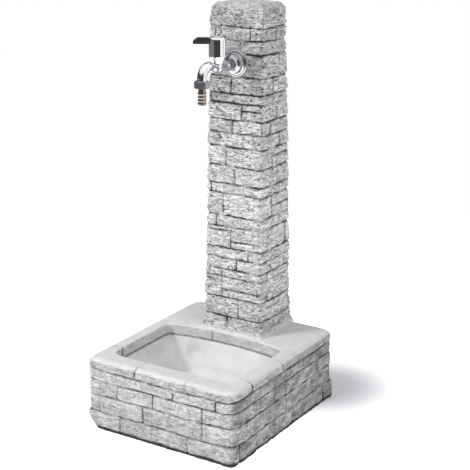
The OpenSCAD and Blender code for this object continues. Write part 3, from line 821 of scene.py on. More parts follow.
class Graph:
    """Builds one material's or world's nodes."""

    def __init__(self, tree: bpy.types.NodeTree) -> None:
        """Starts from an empty tree."""
        self.tree = tree
        self.tree.nodes.clear()

    def node(self, kind: str, settings: dict[str, object], inputs: dict[object, object]) -> bpy.types.Node:
        """Adds a node.

        Args:
            kind: The node's type.
            settings: Its own settings, set before its sockets.
            inputs: A value or wire for each socket, by name or number.

        Returns:
            The node.
        """
        made = self.tree.nodes.new(kind)
        for key, value in settings.items():
            setattr(made, key, value)
        for key, value in inputs.items():
            if isinstance(value, Wire):
                self.tree.links.new(value.socket, made.inputs[key])
            else:
                made.inputs[key].default_value = value
        return made

    def wire(
        self, kind: str, settings: dict[str, object], inputs: dict[object, object], output: object = 0
    ) -> Wire:
        """Adds a node and returns one of its outputs."""
        return Wire(self, self.node(kind, settings, inputs).outputs[output])

    def place(self, stretch: tuple[float, float, float] = (1, 1, 1)) -> Wire:
        """Object coordinates, stretched."""
        here = self.wire("ShaderNodeTexCoord", {}, {}, "Object")
        return self.wire("ShaderNodeMapping", {}, {"Vector": here, "Scale": stretch})

    def noise(self, where: Wire, scale: float, detail: float = 4, rough: float = 0.55) -> Wire:
        """Noise from 0 to 1."""
        return self.wire(
            "ShaderNodeTexNoise",
            {"noise_dimensions": "3D"},
            {"Vector": where, "Scale": scale, "Detail": detail, "Roughness": rough},
        )

    def cells(self, where: Wire, scale: float) -> Wire:
        """Distance to the nearest cell's middle."""
        return self.wire("ShaderNodeTexVoronoi", {}, {"Vector": where, "Scale": scale}, "Distance")

    def attribute(self, name: str) -> Wire:
        """A number stored on the mesh."""
        return self.wire("ShaderNodeAttribute", {"attribute_name": name}, {}, "Fac")

    def mix(self, share: object, first: object, second: object) -> Wire:
        """A colour between two colours."""
        return self.wire("ShaderNodeMix", {"data_type": "RGBA"}, {0: share, 6: first, 7: second}, 2)

    def bump(self, height: Wire, strength: float, distance: float) -> Wire:
        """A normal bent by a height."""
        return self.wire(
            "ShaderNodeBump", {}, {"Height": height, "Strength": strength, "Distance": distance}
        )


def rgba(colour: Colour) -> tuple[float, float, float, float]:
    """A colour with its alpha."""
    return (*colour, 1.0)


@dataclass(frozen=True)
class Finish:
    """A named finish. Subclasses say how it is shaded."""

    name: str

    def make(self) -> bpy.types.Material:
        """Builds the material.

        Returns:
            The new material.
        """
        material = bpy.data.materials.new(self.name)
        material.use_nodes = True
        graph = Graph(material.node_tree)
        shader = self.shade(graph)
        graph.node("ShaderNodeOutputMaterial", {}, {"Surface": Wire(graph, shader.outputs[0])})
        return material

    def shade(self, graph: Graph) -> bpy.types.Node:
        """Adds the finish's nodes and returns its shader."""
        raise NotImplementedError

    def shader(self, graph: Graph, **inputs: object) -> bpy.types.Node:
        """Adds the shader, with a value or wire for each of its sockets."""
        sockets = {key.replace("_", " "): value for key, value in inputs.items()}
        return graph.node("ShaderNodeBsdfPrincipled", {}, sockets)


@dataclass(frozen=True)
class StoneFinish(Finish):
    """Weathered cast stone with dark joints and stains, and painted shade in its hollows, corners and underneath.
    """

    pale: Colour = (0.79, 0.78, 0.775)
    grey: Colour = (0.40, 0.395, 0.39)
    stain_and_shade: Colour = (0.030, 0.030, 0.032)
    warm: Colour = (0.74, 0.70, 0.66)
    etching: float = 0.62
    weathering: float = 0.0

    def strokes(self, graph: Graph, where: Wire, scale: float, width: float) -> Wire:
        """Thin wavy lines along a noise's middle level, broken up by its own slope."""
        field = graph.noise(where, scale, 4, 0.62)
        return (field - 0.5).absolute().between(width, width * 0.15)

    def shade(self, graph: Graph) -> bpy.types.Node:
        """Mixes pale, grey and dark stone by relief and noise; the dark carries painted shade as well as joints
        and stains.

        Args:
            graph: The graph to add to.

        Returns:
            The shader.
        """
        here = graph.place()
        flat = graph.place((1.0, 1.0, 4.2))
        recess = graph.attribute("recess")
        rough = graph.attribute("rough")
        tone = graph.attribute("tone")
        mottle = graph.noise(here, 30, 4, 0.5)
        grit = graph.noise(here, 700, 3, 0.6)
        patches = graph.noise(flat, 22, 3, 0.55)
        coarse = self.strokes(graph, flat, 40, 0.038) * patches.between(0.38, 0.52)
        fine = self.strokes(graph, flat, 66, 0.045) * patches.between(0.60, 0.44)
        etched = ((coarse + fine * 0.8) * rough).clamped() * self.etching
        stain_mask = graph.noise(here, 9, 3, 0.5).between(0.45, 0.7)
        # The tone attribute carries painted highlights and painted shade as well as each stone's own tone.
        worn = (mottle - 0.5) * 0.8 * (rough * 0.8 + 0.2) + (tone - 0.5) * 0.6 * rough
        aged = rough * self.weathering + 0.06
        body = graph.mix((worn + aged).clamped(), rgba(self.pale), rgba(self.grey))
        body = graph.mix(stain_mask * 0.30, body, rgba(self.warm))
        specks = grit.between(0.52, 0.72) * (rough * 0.22 + 0.04)
        # Painted shade from the attribute goes into the dark mix with the joints, strokes and specks.
        dark = (recess * 1.2 + etched * (1 - recess) + specks).clamped()
        colour = graph.mix(dark, body, rgba(self.stain_and_shade))
        height = grit * 0.3 * rough - etched * 0.9 + mottle * 0.4 * rough + patches * 0.3
        return self.shader(
            graph,
            Base_Color=colour,
            Roughness=0.82 + grit * 0.15,
            Normal=graph.bump(height, 0.9, 1.8 * MM),
            Specular_IOR_Level=0.3,
        )


@dataclass(frozen=True)
class MetalFinish(Finish):
    """Plated, drawn or machined metal with smears, scratches and dull spots."""

    colour: Colour = (0.8, 0.81, 0.83)
    tarnish: Colour = (0.5, 0.5, 0.5)
    gloss: float = 0.06
    spread: float = 0.12
    brushing: tuple[float, float, float] = (1, 1, 1)
    tarnish_share: float = 0.25
    worn_tarnish: float = 0.85
    worn_haze: float = 0.3

    def shade(self, graph: Graph) -> bpy.types.Node:
        """Mixes bright and tarnished metal.

        Args:
            graph: The graph to add to.

        Returns:
            The shader.
        """
        here = graph.place()
        lines = graph.noise(graph.place(self.brushing), 700, 3, 0.6)
        worn = graph.attribute("worn")
        smears = graph.noise(here, 60, 4, 0.6)
        spots = graph.cells(here, 420).between(0.42, 0.1)
        film = (smears.between(0.45, 0.75) + spots * 0.3).clamped() * self.tarnish_share
        film = (film + worn * self.worn_tarnish).clamped()
        haze = worn * self.worn_haze + smears * self.spread + lines * 0.04 + self.gloss
        return self.shader(
            graph,
            Base_Color=graph.mix(film, rgba(self.colour), rgba(self.tarnish)),
            Metallic=1.0,
            Roughness=haze,
            Normal=graph.bump(lines + smears * 0.5, 0.06, 0.3 * MM),
        )


@dataclass(frozen=True)
class PolymerFinish(Finish):
    """Moulded plastic, nylon or rubber with a fine grain and rubbed patches."""

    colour: Colour = (0.03, 0.03, 0.03)
    rubbed: Colour = (0.08, 0.08, 0.08)
    roughness: float = 0.45
    grain: float = 1200
    relief: float = 0.15

    def shade(self, graph: Graph) -> bpy.types.Node:
        """Mixes clean and rubbed polymer.

        Args:
            graph: The graph to add to.

        Returns:
            The shader.
        """
        here = graph.place()
        texture = graph.noise(here, self.grain, 2, 0.5)
        wear = graph.noise(here, 55, 5, 0.65).between(0.5, 0.8)
        return self.shader(
            graph,
            Base_Color=graph.mix(wear * 0.5, rgba(self.colour), rgba(self.rubbed)),
            Roughness=self.roughness + wear * 0.15 + texture * 0.08,
            Normal=graph.bump(texture, self.relief, 0.2 * MM),
        )


@dataclass(frozen=True)
class PaintFinish(Finish):
    """Powder coat over sheet metal, chalked and chipped by weather."""

    colour: Colour = (0.36, 0.365, 0.36)
    chalk: Colour = (0.5, 0.5, 0.49)

    def shade(self, graph: Graph) -> bpy.types.Node:
        """Mixes fresh and chalked paint over an orange-peel surface.

        Args:
            graph: The graph to add to.

        Returns:
            The shader.
        """
        here = graph.place()
        peel = graph.noise(here, 500, 2, 0.5)
        chalked = graph.noise(here, 24, 5, 0.62).between(0.4, 0.75)
        streaks = graph.noise(graph.place((9, 9, 0.8)), 12, 4, 0.6).between(0.5, 0.8)
        cover = (chalked * 0.6 + streaks * 0.35).clamped()
        return self.shader(
            graph,
            Base_Color=graph.mix(cover, rgba(self.colour), rgba(self.chalk)),
            Roughness=0.48 + cover * 0.25,
            Normal=graph.bump(peel, 0.22, 0.3 * MM),
        )


@dataclass(frozen=True)
class CeramicFinish(Finish):
    """Lapped white ceramic."""

    colour: Colour = (0.86, 0.85, 0.82)
    cloudy: Colour = (0.7, 0.69, 0.66)

    def shade(self, graph: Graph) -> bpy.types.Node:
        """Adds faint clouding to a hard white body.

        Args:
            graph: The graph to add to.

        Returns:
            The shader.
        """
        cloud = graph.noise(graph.place(), 260, 4, 0.6)
        return self.shader(
            graph,
            Base_Color=graph.mix(cloud * 0.4, rgba(self.colour), rgba(self.cloudy)),
            Roughness=0.16 + cloud * 0.1,
            Normal=graph.bump(cloud, 0.05, 0.2 * MM),
        )


FINISHES = (
    StoneFinish("basin_stone", etching=0.5, weathering=0.58),
    StoneFinish("column_stone"),
    StoneFinish("mortar"),
    MetalFinish("steel", (0.62, 0.63, 0.65), (0.42, 0.42, 0.42), 0.2, 0.2, (1, 1, 12), 0.4),
    PaintFinish("cover_sheet"),
    PolymerFinish("nylon", (0.76, 0.75, 0.7), (0.6, 0.58, 0.5), 0.42, 700, 0.12),
    PolymerFinish("rubber_black", (0.022, 0.022, 0.023), (0.07, 0.07, 0.07), 0.68, 900, 0.3),
    MetalFinish("raw_brass", (0.78, 0.57, 0.27), (0.4, 0.27, 0.12), 0.22, 0.25, (1, 12, 1), 0.55),
    MetalFinish("copper", (0.86, 0.46, 0.3), (0.38, 0.2, 0.13), 0.24, 0.25, (8, 8, 1), 0.6),
    CeramicFinish("valve_ceramic"),
    MetalFinish("tap_chrome", (0.82, 0.83, 0.85), (0.26, 0.26, 0.28), 0.03, 0.07, (1, 1, 1), 0.1),
    PolymerFinish("lever_plastic", (0.018, 0.016, 0.02), (0.05, 0.048, 0.052), 0.36, 1500, 0.12),
    MetalFinish("nut_nickel", (0.34, 0.34, 0.36), (0.2, 0.2, 0.2), 0.2, 0.2, (1, 1, 8), 0.5),
    MetalFinish("tail_nickel", (0.33, 0.275, 0.24), (0.15, 0.11, 0.09), 0.12, 0.15, (1, 1, 8), 0.45),
)


@dataclass
class Palette:
    """Every finish of the post, by its slot in the record, and the materials made so far."""

    finishes: dict[str, Finish] = field(default_factory=lambda: {f.name: f for f in FINISHES})
    made: dict[str, bpy.types.Material] = field(default_factory=dict)

    def __getitem__(self, slot: str) -> bpy.types.Material:
        """Finds a slot's material, and builds it when first asked for.

        Args:
            slot: The record's material slot.

        Returns:
            The material.
        """
        if slot not in self.made:
            self.made[slot] = self.finishes[slot].make()
        return self.made[slot]

    def dress(self, obj: bpy.types.Object, slot: str) -> None:
        """Gives a piece one finish all over."""
        obj.data.materials.clear()
        obj.data.materials.append(self[slot])


# --------------------------------------------------------------------------- stonework


@dataclass
class StoneWork:
    """What the basin block and the column share: an even mesh and its carving."""

    palette: Palette
    voxel: float = 2.5 * MM
    face_limit: int = 190_000

    def even_mesh(self, obj: bpy.types.Object) -> None:
        """Remeshes a plain shape into small even faces and softens its arrises.

        Args:
            obj: The plain shape.
        """
        size = self.voxel * 1
        Bench.apply(obj, "REMESH", mode="VOXEL", voxel_size=size)
        Bench.apply(obj, "SMOOTH", factor=0.5, iterations=3)

    def settle(self, obj: bpy.types.Object) -> None:
        """Thins a carved mesh to the face limit and smooths its shading.

        Args:
            obj: The carved shape.
        """
        triangles = sum(len(p.vertices) - 2 for p in obj.data.polygons)
        if triangles > self.face_limit:
            Bench.apply(obj, "DECIMATE", ratio=self.face_limit / triangles)
        Bench.focus(obj)
        bpy.ops.object.shade_smooth()


@dataclass
class Column(StoneWork):
    """The tapered coursed column with its pipe chase."""

    name: str = "coursed_column"
    foot_width: float = 168 * MM
    foot_depth: float = 154 * MM
    top_width: float = 148 * MM
    top_depth: float = 107 * MM
    arris: float = 8 * MM
    top_rounding: float = 20 * MM
    dome: float = 2.5 * MM
    chase_half: float = 30 * MM
    chase_above: float = 52 * MM
    rebate: float = 3 * MM
    cover_clear: float = 0.6 * MM
    bore: float = 14.5 * MM
    seat_clear: float = 1.4 * MM
    seat_edge: float = 31 * MM
    seat_fade: float = 9 * MM
    crown_fade: float = 14 * MM
    corner_wear: float = 3.2 * MM
    corner_reach: float = 11 * MM
    # The ring settings below draw a painted shadow round the tap.
    ring_radius: float = 35 * MM
    ring_width: float = 5 * MM
    flange_shadow: float = 0.4
    top_front_darkening: float = 0.42
    # Painted shade on the column's up-facing top.
    painted_top_shade: float = 0.1
    bond: Bond = field(default_factory=lambda: COLUMN_BOND)

    def __post_init__(self) -> None:
        """Reads the column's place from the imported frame."""
        low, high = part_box("column")
        self.low, self.high = low, high
        self.middle_y = (low.y + high.y) / 2
        self.base_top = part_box("base_block")[1].z
        self.tap = Vector((0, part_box("flange_gasket")[1].y, joint_place("handle_turn").z))

    def plan(self, up: np.ndarray) -> tuple[np.ndarray, np.ndarray]:
        """The column's plan at some heights.

        Args:
            up: The heights.

        Returns:
            Its width and its depth at each.
        """
        share = (up - self.base_top) / (self.high.z - self.base_top)
        width = self.foot_width + (self.top_width - self.foot_width) * share
        return width, self.foot_depth + (self.top_depth - self.foot_depth) * share

    def shape(self) -> bpy.types.Object:
        """Models the plain column and cuts its chase, rebate, seat and bore.

        Returns:
            The column before it is carved.
        """
        half_w, half_d = self.foot_width / 2, self.foot_depth / 2
        low = (-half_w, self.middle_y - half_d, self.low.z)
        high = (half_w, self.middle_y + half_d, self.high.z)
        obj = Bench.block(self.name, low, high)
        Bench.pick(obj, "VERT", lambda at, _: at.z > self.high.z - MM)
        bpy.ops.transform.resize(
            value=(self.top_width / self.foot_width, self.top_depth / self.foot_depth, 1),
            center_override=(0, self.middle_y, self.high.z),
        )
        bpy.ops.object.mode_set(mode="OBJECT")
        Bench.pick(obj, "EDGE", upright)
        Bench.bevel(self.arris, 3)
        Bench.pick(obj, "EDGE", lambda at, _: at.z > self.high.z - MM)
        Bench.bevel(self.top_rounding, 5)
        cover_low, cover_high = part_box("service_cover")
        lean = math.atan((cover_high.y - cover_low.y - self.rebate) / (cover_high.z - cover_low.z))
        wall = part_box("pipe_clips")[0].y
        chase = Bench.block(
            "chase_cutter",
            (-self.chase_half, wall, self.low.z - 0.01),
            (self.chase_half, self.high.y + 0.05, self.tap.z + self.chase_above),
        )
        clear = self.cover_clear
        rebate = Bench.block(
            "rebate_cutter",
            (cover_low.x - clear, -self.rebate, -0.01),
            (cover_high.x + clear, 0.05, cover_high.z - self.base_top + clear),
        )
        Bench.place(
            rebate, Matrix.Translation((0, self.high.y, self.base_top)) @ Matrix.Rotation(lean, 4, "X")
        )
        bore = Bench.rod(
            "bore_cutter",
            self.bore,
            self.tap + Vector((0, -0.02, 0)),
            Vector((0, wall + 0.01, self.tap.z)),
        )
        seat = Bench.rod(
            "seat_cutter",
            node_size("flange_gasket").z / 2 + self.seat_clear,
            self.tap + Vector((0, -0.05, 0)),
            self.tap,
        )
        return Bench.cut(obj, chase, rebate, bore, seat)

    def carve(self, obj: bpy.types.Object) -> None:
        """Cuts the courses and the rock face into the mesh.

        Args:
            obj: The plain column, in small even faces.
        """
        grain = Grain(self.bond.seed)
        points, normals = read_mesh(obj)
        warped = self.bond.wandering(grain, points, 14, 55)
        width, depth = self.plan(points[:, 2])
        front = self.middle_y - depth / 2
        sideways = np.abs(normals[:, 0]) > np.abs(normals[:, 1])
        faces = {
            Face.FRONT: (~sideways & (normals[:, 1] < 0), warped[:, 0] + width / 2, width),
            Face.BACK: (~sideways & (normals[:, 1] >= 0), width / 2 - warped[:, 0], width),
            Face.RIGHT: (sideways & (normals[:, 0] > 0), warped[:, 1] - front, depth),
            Face.LEFT: (sideways & (normals[:, 0] <= 0), front + depth - warped[:, 1], depth),
        }
        reach, stone, rise = self.bond.lay(faces, warped[:, 2])
        carving = carve_stone(grain, self.bond, points, reach, stone, rise)
        top = step_between(self.high.z - self.crown_fade, self.high.z - 4 * MM, points[:, 2])
        rough = 1 - 0.5 * top
        outer = self.on_outside(points, normals)
        height = carving.height(rough, self.bond.joint_depth * (1 - 0.6 * top)) * outer
        crowned = 1 - (points[:, 0] / (self.top_width / 2)) ** 2
        height += top * outer * self.dome * crowned * (normals[:, 2] > 0.7)
        inset_x, inset_y = self.insets(points)
        chips = step_between(0.1, 0.5, grain.layers(points * 42 + 61.0, 3))
        to_corner = np.hypot(np.maximum(inset_x, 0), np.maximum(inset_y, 0))
        corner = np.exp(-((to_corner / self.corner_reach) ** 2))
        height -= chips * corner * self.corner_wear * outer
        write_points(obj, points + normals * height[:, None])
        darkened_and_shaded = self.darkening_and_painted_shade(grain, points, normals, outer)
        recess = carving.recess(rough) * (1 - 0.5 * top) * outer
        # Painted shade: the up-facing top is darkened.
        roof = step_between(0.3, 0.8, normals[:, 2]) * top
        painted_top_shade = roof * self.painted_top_shade * (1 + grain.cloud(points, (60, 60, 60), 1.0))
        write_attribute(obj, "recess", np.maximum(recess + darkened_and_shaded, painted_top_shade))
        write_attribute(obj, "tone", carving.tone)
        write_attribute(obj, "rough", rough * (0.25 + 0.75 * outer))

    def darkening_and_painted_shade(
        self, grain: Grain, points: np.ndarray, normals: np.ndarray, outer: np.ndarray
    ) -> np.ndarray:
        """Darkening that grows towards the top of the front faces, and a painted shadow ring round the tap.

        Args:
            grain: The noise to use.
            points: The vertices.
            normals: Their normals.
            outer: How far each is free to be carved.

        Returns:
            How dark each vertex is.
        """
        smears = grain.cloud(points, (10, 10, 16), 0.6, shift=3.0)
        upper = step_between(0.45, 0.95, points[:, 2])
        facing = 0.3 + 0.7 * step_between(0.2, 0.7, -normals[:, 1])
        # Darker towards the top, most on the faces turned to the front.
        top_front_darkening = (0.01 + self.top_front_darkening * upper) * smears * outer * facing
        # Painted shadow: a dark ring round the flange on the front face.
        past_ring = (self.from_tap(points) - self.ring_radius) / self.ring_width
        in_front = (normals[:, 1] < -0.5) & (points[:, 1] < self.middle_y)
        return np.maximum(top_front_darkening, self.flange_shadow * np.exp(-(past_ring**2)) * in_front)

    def from_tap(self, points: np.ndarray) -> np.ndarray:
        """Each vertex's distance from the tap's axis."""
        return np.hypot(points[:, 0] - self.tap.x, points[:, 2] - self.tap.z)

    def insets(self, points: np.ndarray) -> tuple[np.ndarray, np.ndarray]:
        """How far vertices lie inside the column's sides, and its front or back.

        Args:
            points: The vertices.

        Returns:
            The two distances.
        """
        width, depth = self.plan(points[:, 2])
        inset_x = width / 2 - np.abs(points[:, 0])
        return inset_x, depth / 2 - np.abs(points[:, 1] - self.middle_y)

    def on_outside(self, points: np.ndarray, normals: np.ndarray) -> np.ndarray:
        """How far each vertex is free to be carved.

        Args:
            points: The vertices.
            normals: Their normals.

        Returns:
            1 on the open faces, down to 0 in the chase, at the foot and at the seat.
        """
        inset_x, inset_y = self.insets(points)
        inset = np.minimum(np.minimum(inset_x, inset_y), self.high.z - points[:, 2])
        at_arris = np.maximum(inset_x, inset_y) < self.arris + 2 * MM
        at_crown = points[:, 2] > self.high.z - self.top_rounding
        slack = np.where(at_arris | at_crown, self.top_rounding * 0.4, 0.0)
        outside = 1 - step_between(1.6 * MM, 2.6 * MM, inset - slack)
        from_tap = self.from_tap(points)
        at_seat = (normals[:, 1] < -0.5) | (from_tap < 20 * MM)
        free = step_between(self.seat_edge, self.seat_edge + self.seat_fade, from_tap)
        seat = np.where(at_seat, free, 1.0)
        at_back = (points[:, 1] > self.middle_y) & (normals[:, 1] > 0.3)
        cover_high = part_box("service_cover")[1]
        past_cover = np.maximum(np.abs(points[:, 0]) - cover_high.x, points[:, 2] - cover_high.z)
        back = np.where(at_back, step_between(0.5 * MM, 7 * MM, past_cover), 1.0)
        foot = step_between(self.low.z, self.low.z + 4 * MM, points[:, 2])
        return outside * seat * back * foot

    def build(self) -> bpy.types.Object:
        """Builds, carves and dresses the column.

        Returns:
            The finished piece.
        """
        obj = self.shape()
        self.even_mesh(obj)
        self.carve(obj)
        self.settle(obj)
        self.palette.dress(obj, "column_stone")
        return ride(obj, "post", "column_stone", "column")


@dataclass
class Pointing(StoneWork):
    """The mortar bed and the hollow fillet that runs round the column's foot."""

    name: str = "foot_pointing"
    foot_width: float = 168 * MM
    foot_depth: float = 154 * MM
    sink: float = 0.4 * MM
    clear: float = 0.4 * MM
    chase_half: float = 30 * MM
    hollow_steps: int = 6
    fine_voxel: float = 1.6 * MM
    lump: float = 1.3 * MM
    hem_pull: float = 3 * MM
    seed: int = 41

    def shape(self) -> bpy.types.Object:
        """Models the fillet by extruding and shrinking the bed's outline.

        Returns:
            The fillet before it is roughened.
        """
        low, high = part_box("mortar_joint")
        width = high.x - low.x
        cove = (width - self.foot_width) / 2
        back = high.y
        start = Bench.block(self.name, (low.x, low.y, low.z), (high.x, back, low.z + self.sink))
        size_x, size_y, last = width, back - low.y, low.z + self.sink
        for step in range(1, self.hollow_steps + 1):
            turn = math.radians(90 * step / self.hollow_steps)
            inset = cove * math.sin(turn)
            height = low.z + self.sink + (high.z - low.z - self.sink) * (1 - math.cos(turn))
            Bench.pick(start, "FACE", lambda _, face: face.normal.z > 0.9)
            bpy.ops.mesh.extrude_region_move(TRANSFORM_OT_translate={"value": (0, 0, height - last)})
            new_x, new_y = width - 2 * inset, back - low.y - inset
            bpy.ops.transform.resize(
                value=(new_x / size_x, new_y / size_y, 1), center_override=(0, back, height)
            )
            bpy.ops.object.mode_set(mode="OBJECT")
            size_x, size_y, last = new_x, new_y, height
        half, clear = self.foot_width / 2, self.clear
        column = Bench.block(
            "column_cutter",
            (-half - clear, low.y + cove - clear, low.z + 3 * MM),
            (half + clear, back + 0.01, high.z + 0.01),
        )
        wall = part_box("pipe_clips")[0].y
        chase = Bench.block("chase_cutter", (-self.chase_half, wall, 0), (self.chase_half, back + 0.01, 1))
        Bench.cut(start, column, chase)
        size = self.fine_voxel * 1
        Bench.apply(start, "REMESH", mode="VOXEL", voxel_size=size)
        return Bench.apply(start, "SMOOTH", factor=0.5, iterations=4)

    def roughen(self, obj: bpy.types.Object) -> None:
        """Makes the fillet lumpy and its hem uneven.

        Args:
            obj: The plain fillet.
        """
        low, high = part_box("mortar_joint")
        grain = Grain(self.seed)
        points, normals = read_mesh(obj)
        flat = points * np.array([1.0, 1.0, 2.0])
        lumps = grain.layers(flat * 60, 3, 0.6)
        free = step_between(low.z + 0.2 * MM, low.z + 2.5 * MM, points[:, 2])
        free = free * (normals[:, 2] > 0.02)
        moved = points + normals * (lumps * self.lump * free)[:, None]
        hem = 1 - step_between(low.z + 0.5 * MM, low.z + 7 * MM, points[:, 2])
        middle = np.array([0.0, (low.y + high.y) / 2 + 20 * MM])
        inward = middle - points[:, :2]
        inward /= np.linalg.norm(inward, axis=1, keepdims=True)
        pull = np.clip(grain.layers(points * np.array([12, 12, 0]) + 5.0, 2) + 0.3, 0, 1)
        moved[:, :2] += inward * (pull * hem * self.hem_pull)[:, None]
        write_points(obj, moved)
        # Painted shade in the low lumps and faintly towards the column's foot; the tone lightens the high lumps as
        # a painted highlight.
        brow = step_between(low.z + 3 * MM, high.z, points[:, 2])
        recess = np.clip(0.06 * brow - lumps * 0.3, 0, 1) * free
        write_attribute(obj, "recess", recess)
        write_attribute(obj, "tone", np.clip(0.5 - lumps * 0.3, 0, 1))
        write_attribute(obj, "rough", 0.3 + 0.5 * brow)

    def build(self) -> bpy.types.Object:
        """Builds, roughens and dresses the fillet.

        Returns:
            The finished piece.
        """
        obj = self.shape()
        self.roughen(obj)
        self.settle(obj)
        self.palette.dress(obj, "mortar")
        return ride(obj, "post", "mortar", "mortar_joint")


@dataclass
class BasinBlock(StoneWork):
    """The basin block: coursed sides, a smooth rim and a cast bowl."""

    name: str = "basin_block"
    corner: float = 30 * MM
    foot_corner: float = 12 * MM
    edge: float = 16 * MM
    foot_bevel: float = 8 * MM
    rim_side: float = 40 * MM
    rim_front: float = 52 * MM
    back_radius: float = 700 * MM
    mouth_corner: float = 32 * MM
    band: float = 27 * MM
    step: float = 7 * MM
    draft: float = 24 * MM
    floor_rounding: float = 34 * MM
    ledge: float = 15 * MM
    outline_steps: int = 160
    halvings: int = 30
    pocket: float = 46 * MM
    hole: float = 21 * MM
    flange_clear: float = 0.6 * MM
    passage: float = 20 * MM
    chip: float = 37 * MM
    rim_depth: float = 12 * MM
    rim_joint: float = 11.5 * MM
    lip_half: float = 2.2 * MM
    corner_shade: float = 110 * MM
    # Height of the painted contact shadow along the foot.
    contact_shadow_height: float = 10 * MM
    square_to: float = 44 * MM
    bond: Bond = field(default_factory=lambda: BASIN_BOND)

    def __post_init__(self) -> None:
        """Reads the block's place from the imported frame."""
        self.low, self.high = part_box("base_block")
        self.mouth_x = self.high.x - self.rim_side
        self.mouth_front = self.low.y + self.rim_front
        self.mouth_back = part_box("column")[0].y - self.ledge
        flange_low, flange_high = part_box("waste_body")
        self.waste = (flange_low + flange_high) / 2
        self.waste_radius = (flange_high.x - flange_low.x) / 2
        self.floor = flange_high.z

    def mouth(self, inset: float, corner: float) -> list[Vector]:
        """The bowl's outline: a rounded rectangle with a long curve at its back.

        Args:
            inset: How far inside the mouth the outline lies.
            corner: The radius of its corners.

        Returns:
            Points in plan, anticlockwise.
        """
        half = self.mouth_x - inset
        front, back = self.mouth_front + inset, self.mouth_back - inset
        centre_y = self.mouth_back - self.back_radius
        middle = Vector((0, (front + back) / 2))
        points = []
        for index in range(self.outline_steps):
            angle = 2 * math.pi * index / self.outline_steps
            way = Vector((math.cos(angle), math.sin(angle)))
            low, high = 0.0, 1.0
            for _ in range(self.halvings):
                mid = (low + high) / 2
                at = middle + way * mid
                corner_x = max(abs(at.x) - (half - corner), 0)
                corner_y = max(abs(at.y - middle.y) - ((back - front) / 2 - corner), 0)
                outside = math.hypot(corner_x, corner_y) > corner
                bulge = math.hypot(at.x, at.y - centre_y) > self.back_radius - inset
                low, high = (low, mid) if outside or bulge else (mid, high)
            points.append(middle + way * low)
        return points

    def bowl_cutter(self) -> bpy.types.Object:
        """Models the bowl's inside by extruding its outline and drawing it in.

        Returns:
            The closed shape to cut with.
        """
        Bench.clear()
        bpy.ops.mesh.primitive_circle_add(vertices=self.outline_steps, radius=1, fill_type="NGON")
        obj = Bench.adopt("bowl_cutter")
        rim = self.high.z - self.band
        arc = [math.radians(a) for a in (0, 15, 30, 45, 60, 75, 90)]
        wall = self.step + self.draft
        levels = [(0.0, self.high.z + 10 * MM, 0.0), (0.0, rim, 0.0)]
        levels += [(self.step * 0.55, rim - 1.5 * MM, 6 * MM), (self.step, rim - 3 * MM, 12 * MM)]
        levels += [(self.step + self.draft * 0.45, rim - 34 * MM, 20 * MM)]
        for turn in arc:
            levels.append((
                wall + self.floor_rounding * (1 - math.cos(turn)),
                self.floor + self.floor_rounding * (1 - math.sin(turn)),
                26 * MM + 14 * MM * math.sin(turn),
            ))
        Bench.pick(obj, "FACE", lambda *_: True)
        bpy.ops.object.mode_set(mode="OBJECT")
        centre = Vector((0, 0))
        for number, (inset, height, extra) in enumerate(levels):
            if number:
                bpy.ops.object.mode_set(mode="EDIT")
                bpy.ops.mesh.extrude_region_move(TRANSFORM_OT_translate={"value": (0, 0, -MM)})
                bpy.ops.object.mode_set(mode="OBJECT")
            ring = [v for v in obj.data.vertices if v.select]
            ring.sort(key=lambda v: bearing(v.co.x, v.co.y - centre.y))
            outline = self.mouth(inset, self.mouth_corner + extra)
            centre = Vector((0, sum(p.y for p in outline) / len(outline)))
            outline.sort(key=lambda p: bearing(p.x, p.y - centre.y))
            for vertex, point in zip(ring, outline):
                vertex.co = (point.x, point.y, height)
        Bench.focus(obj)
        bpy.ops.object.mode_set(mode="EDIT")
        return Bench.close(obj)

    def shape(self) -> bpy.types.Object:
        """Models the plain block and cuts its bowl, waste hole and passages.

        Returns:
            The block before it is carved.
        """
        obj = Bench.block(self.name, self.low, self.high)
        Bench.pick(obj, "EDGE", upright)
        Bench.bevel(self.corner, 8)
        Bench.pick(obj, "EDGE", lambda at, _: at.z > self.high.z - MM)
        Bench.bevel(self.edge, 6)
        Bench.pick(obj, "EDGE", lambda at, _: at.z < self.low.z + MM)
        Bench.bevel(self.foot_bevel, 2)
        riser_low, riser_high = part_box("riser_pipe")
        feed_y = (riser_low.y + riser_high.y) / 2
        nut, washer, gasket = (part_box(node) for node in ("waste_locknut", "waste_washer", "waste_gasket"))
        waste_y, top = self.waste.y, self.high.z
        flange_radius = self.waste_radius + self.flange_clear
        drills = [
            Bench.rod(name, radius, Vector((0, y, start)), Vector((0, y, end)))
            for name, radius, y, start, end in (
                ("pocket_cutter", self.pocket, waste_y, -0.02, washer[1].z),
                ("waste_cutter", self.hole, waste_y, nut[0].z, top),
                ("flange_cutter", flange_radius, waste_y, gasket[0].z, top),
                ("passage_cutter", self.passage, feed_y, -0.02, 0.3),
            )
        ]
        return Bench.cut(obj, self.bowl_cutter(), *drills)

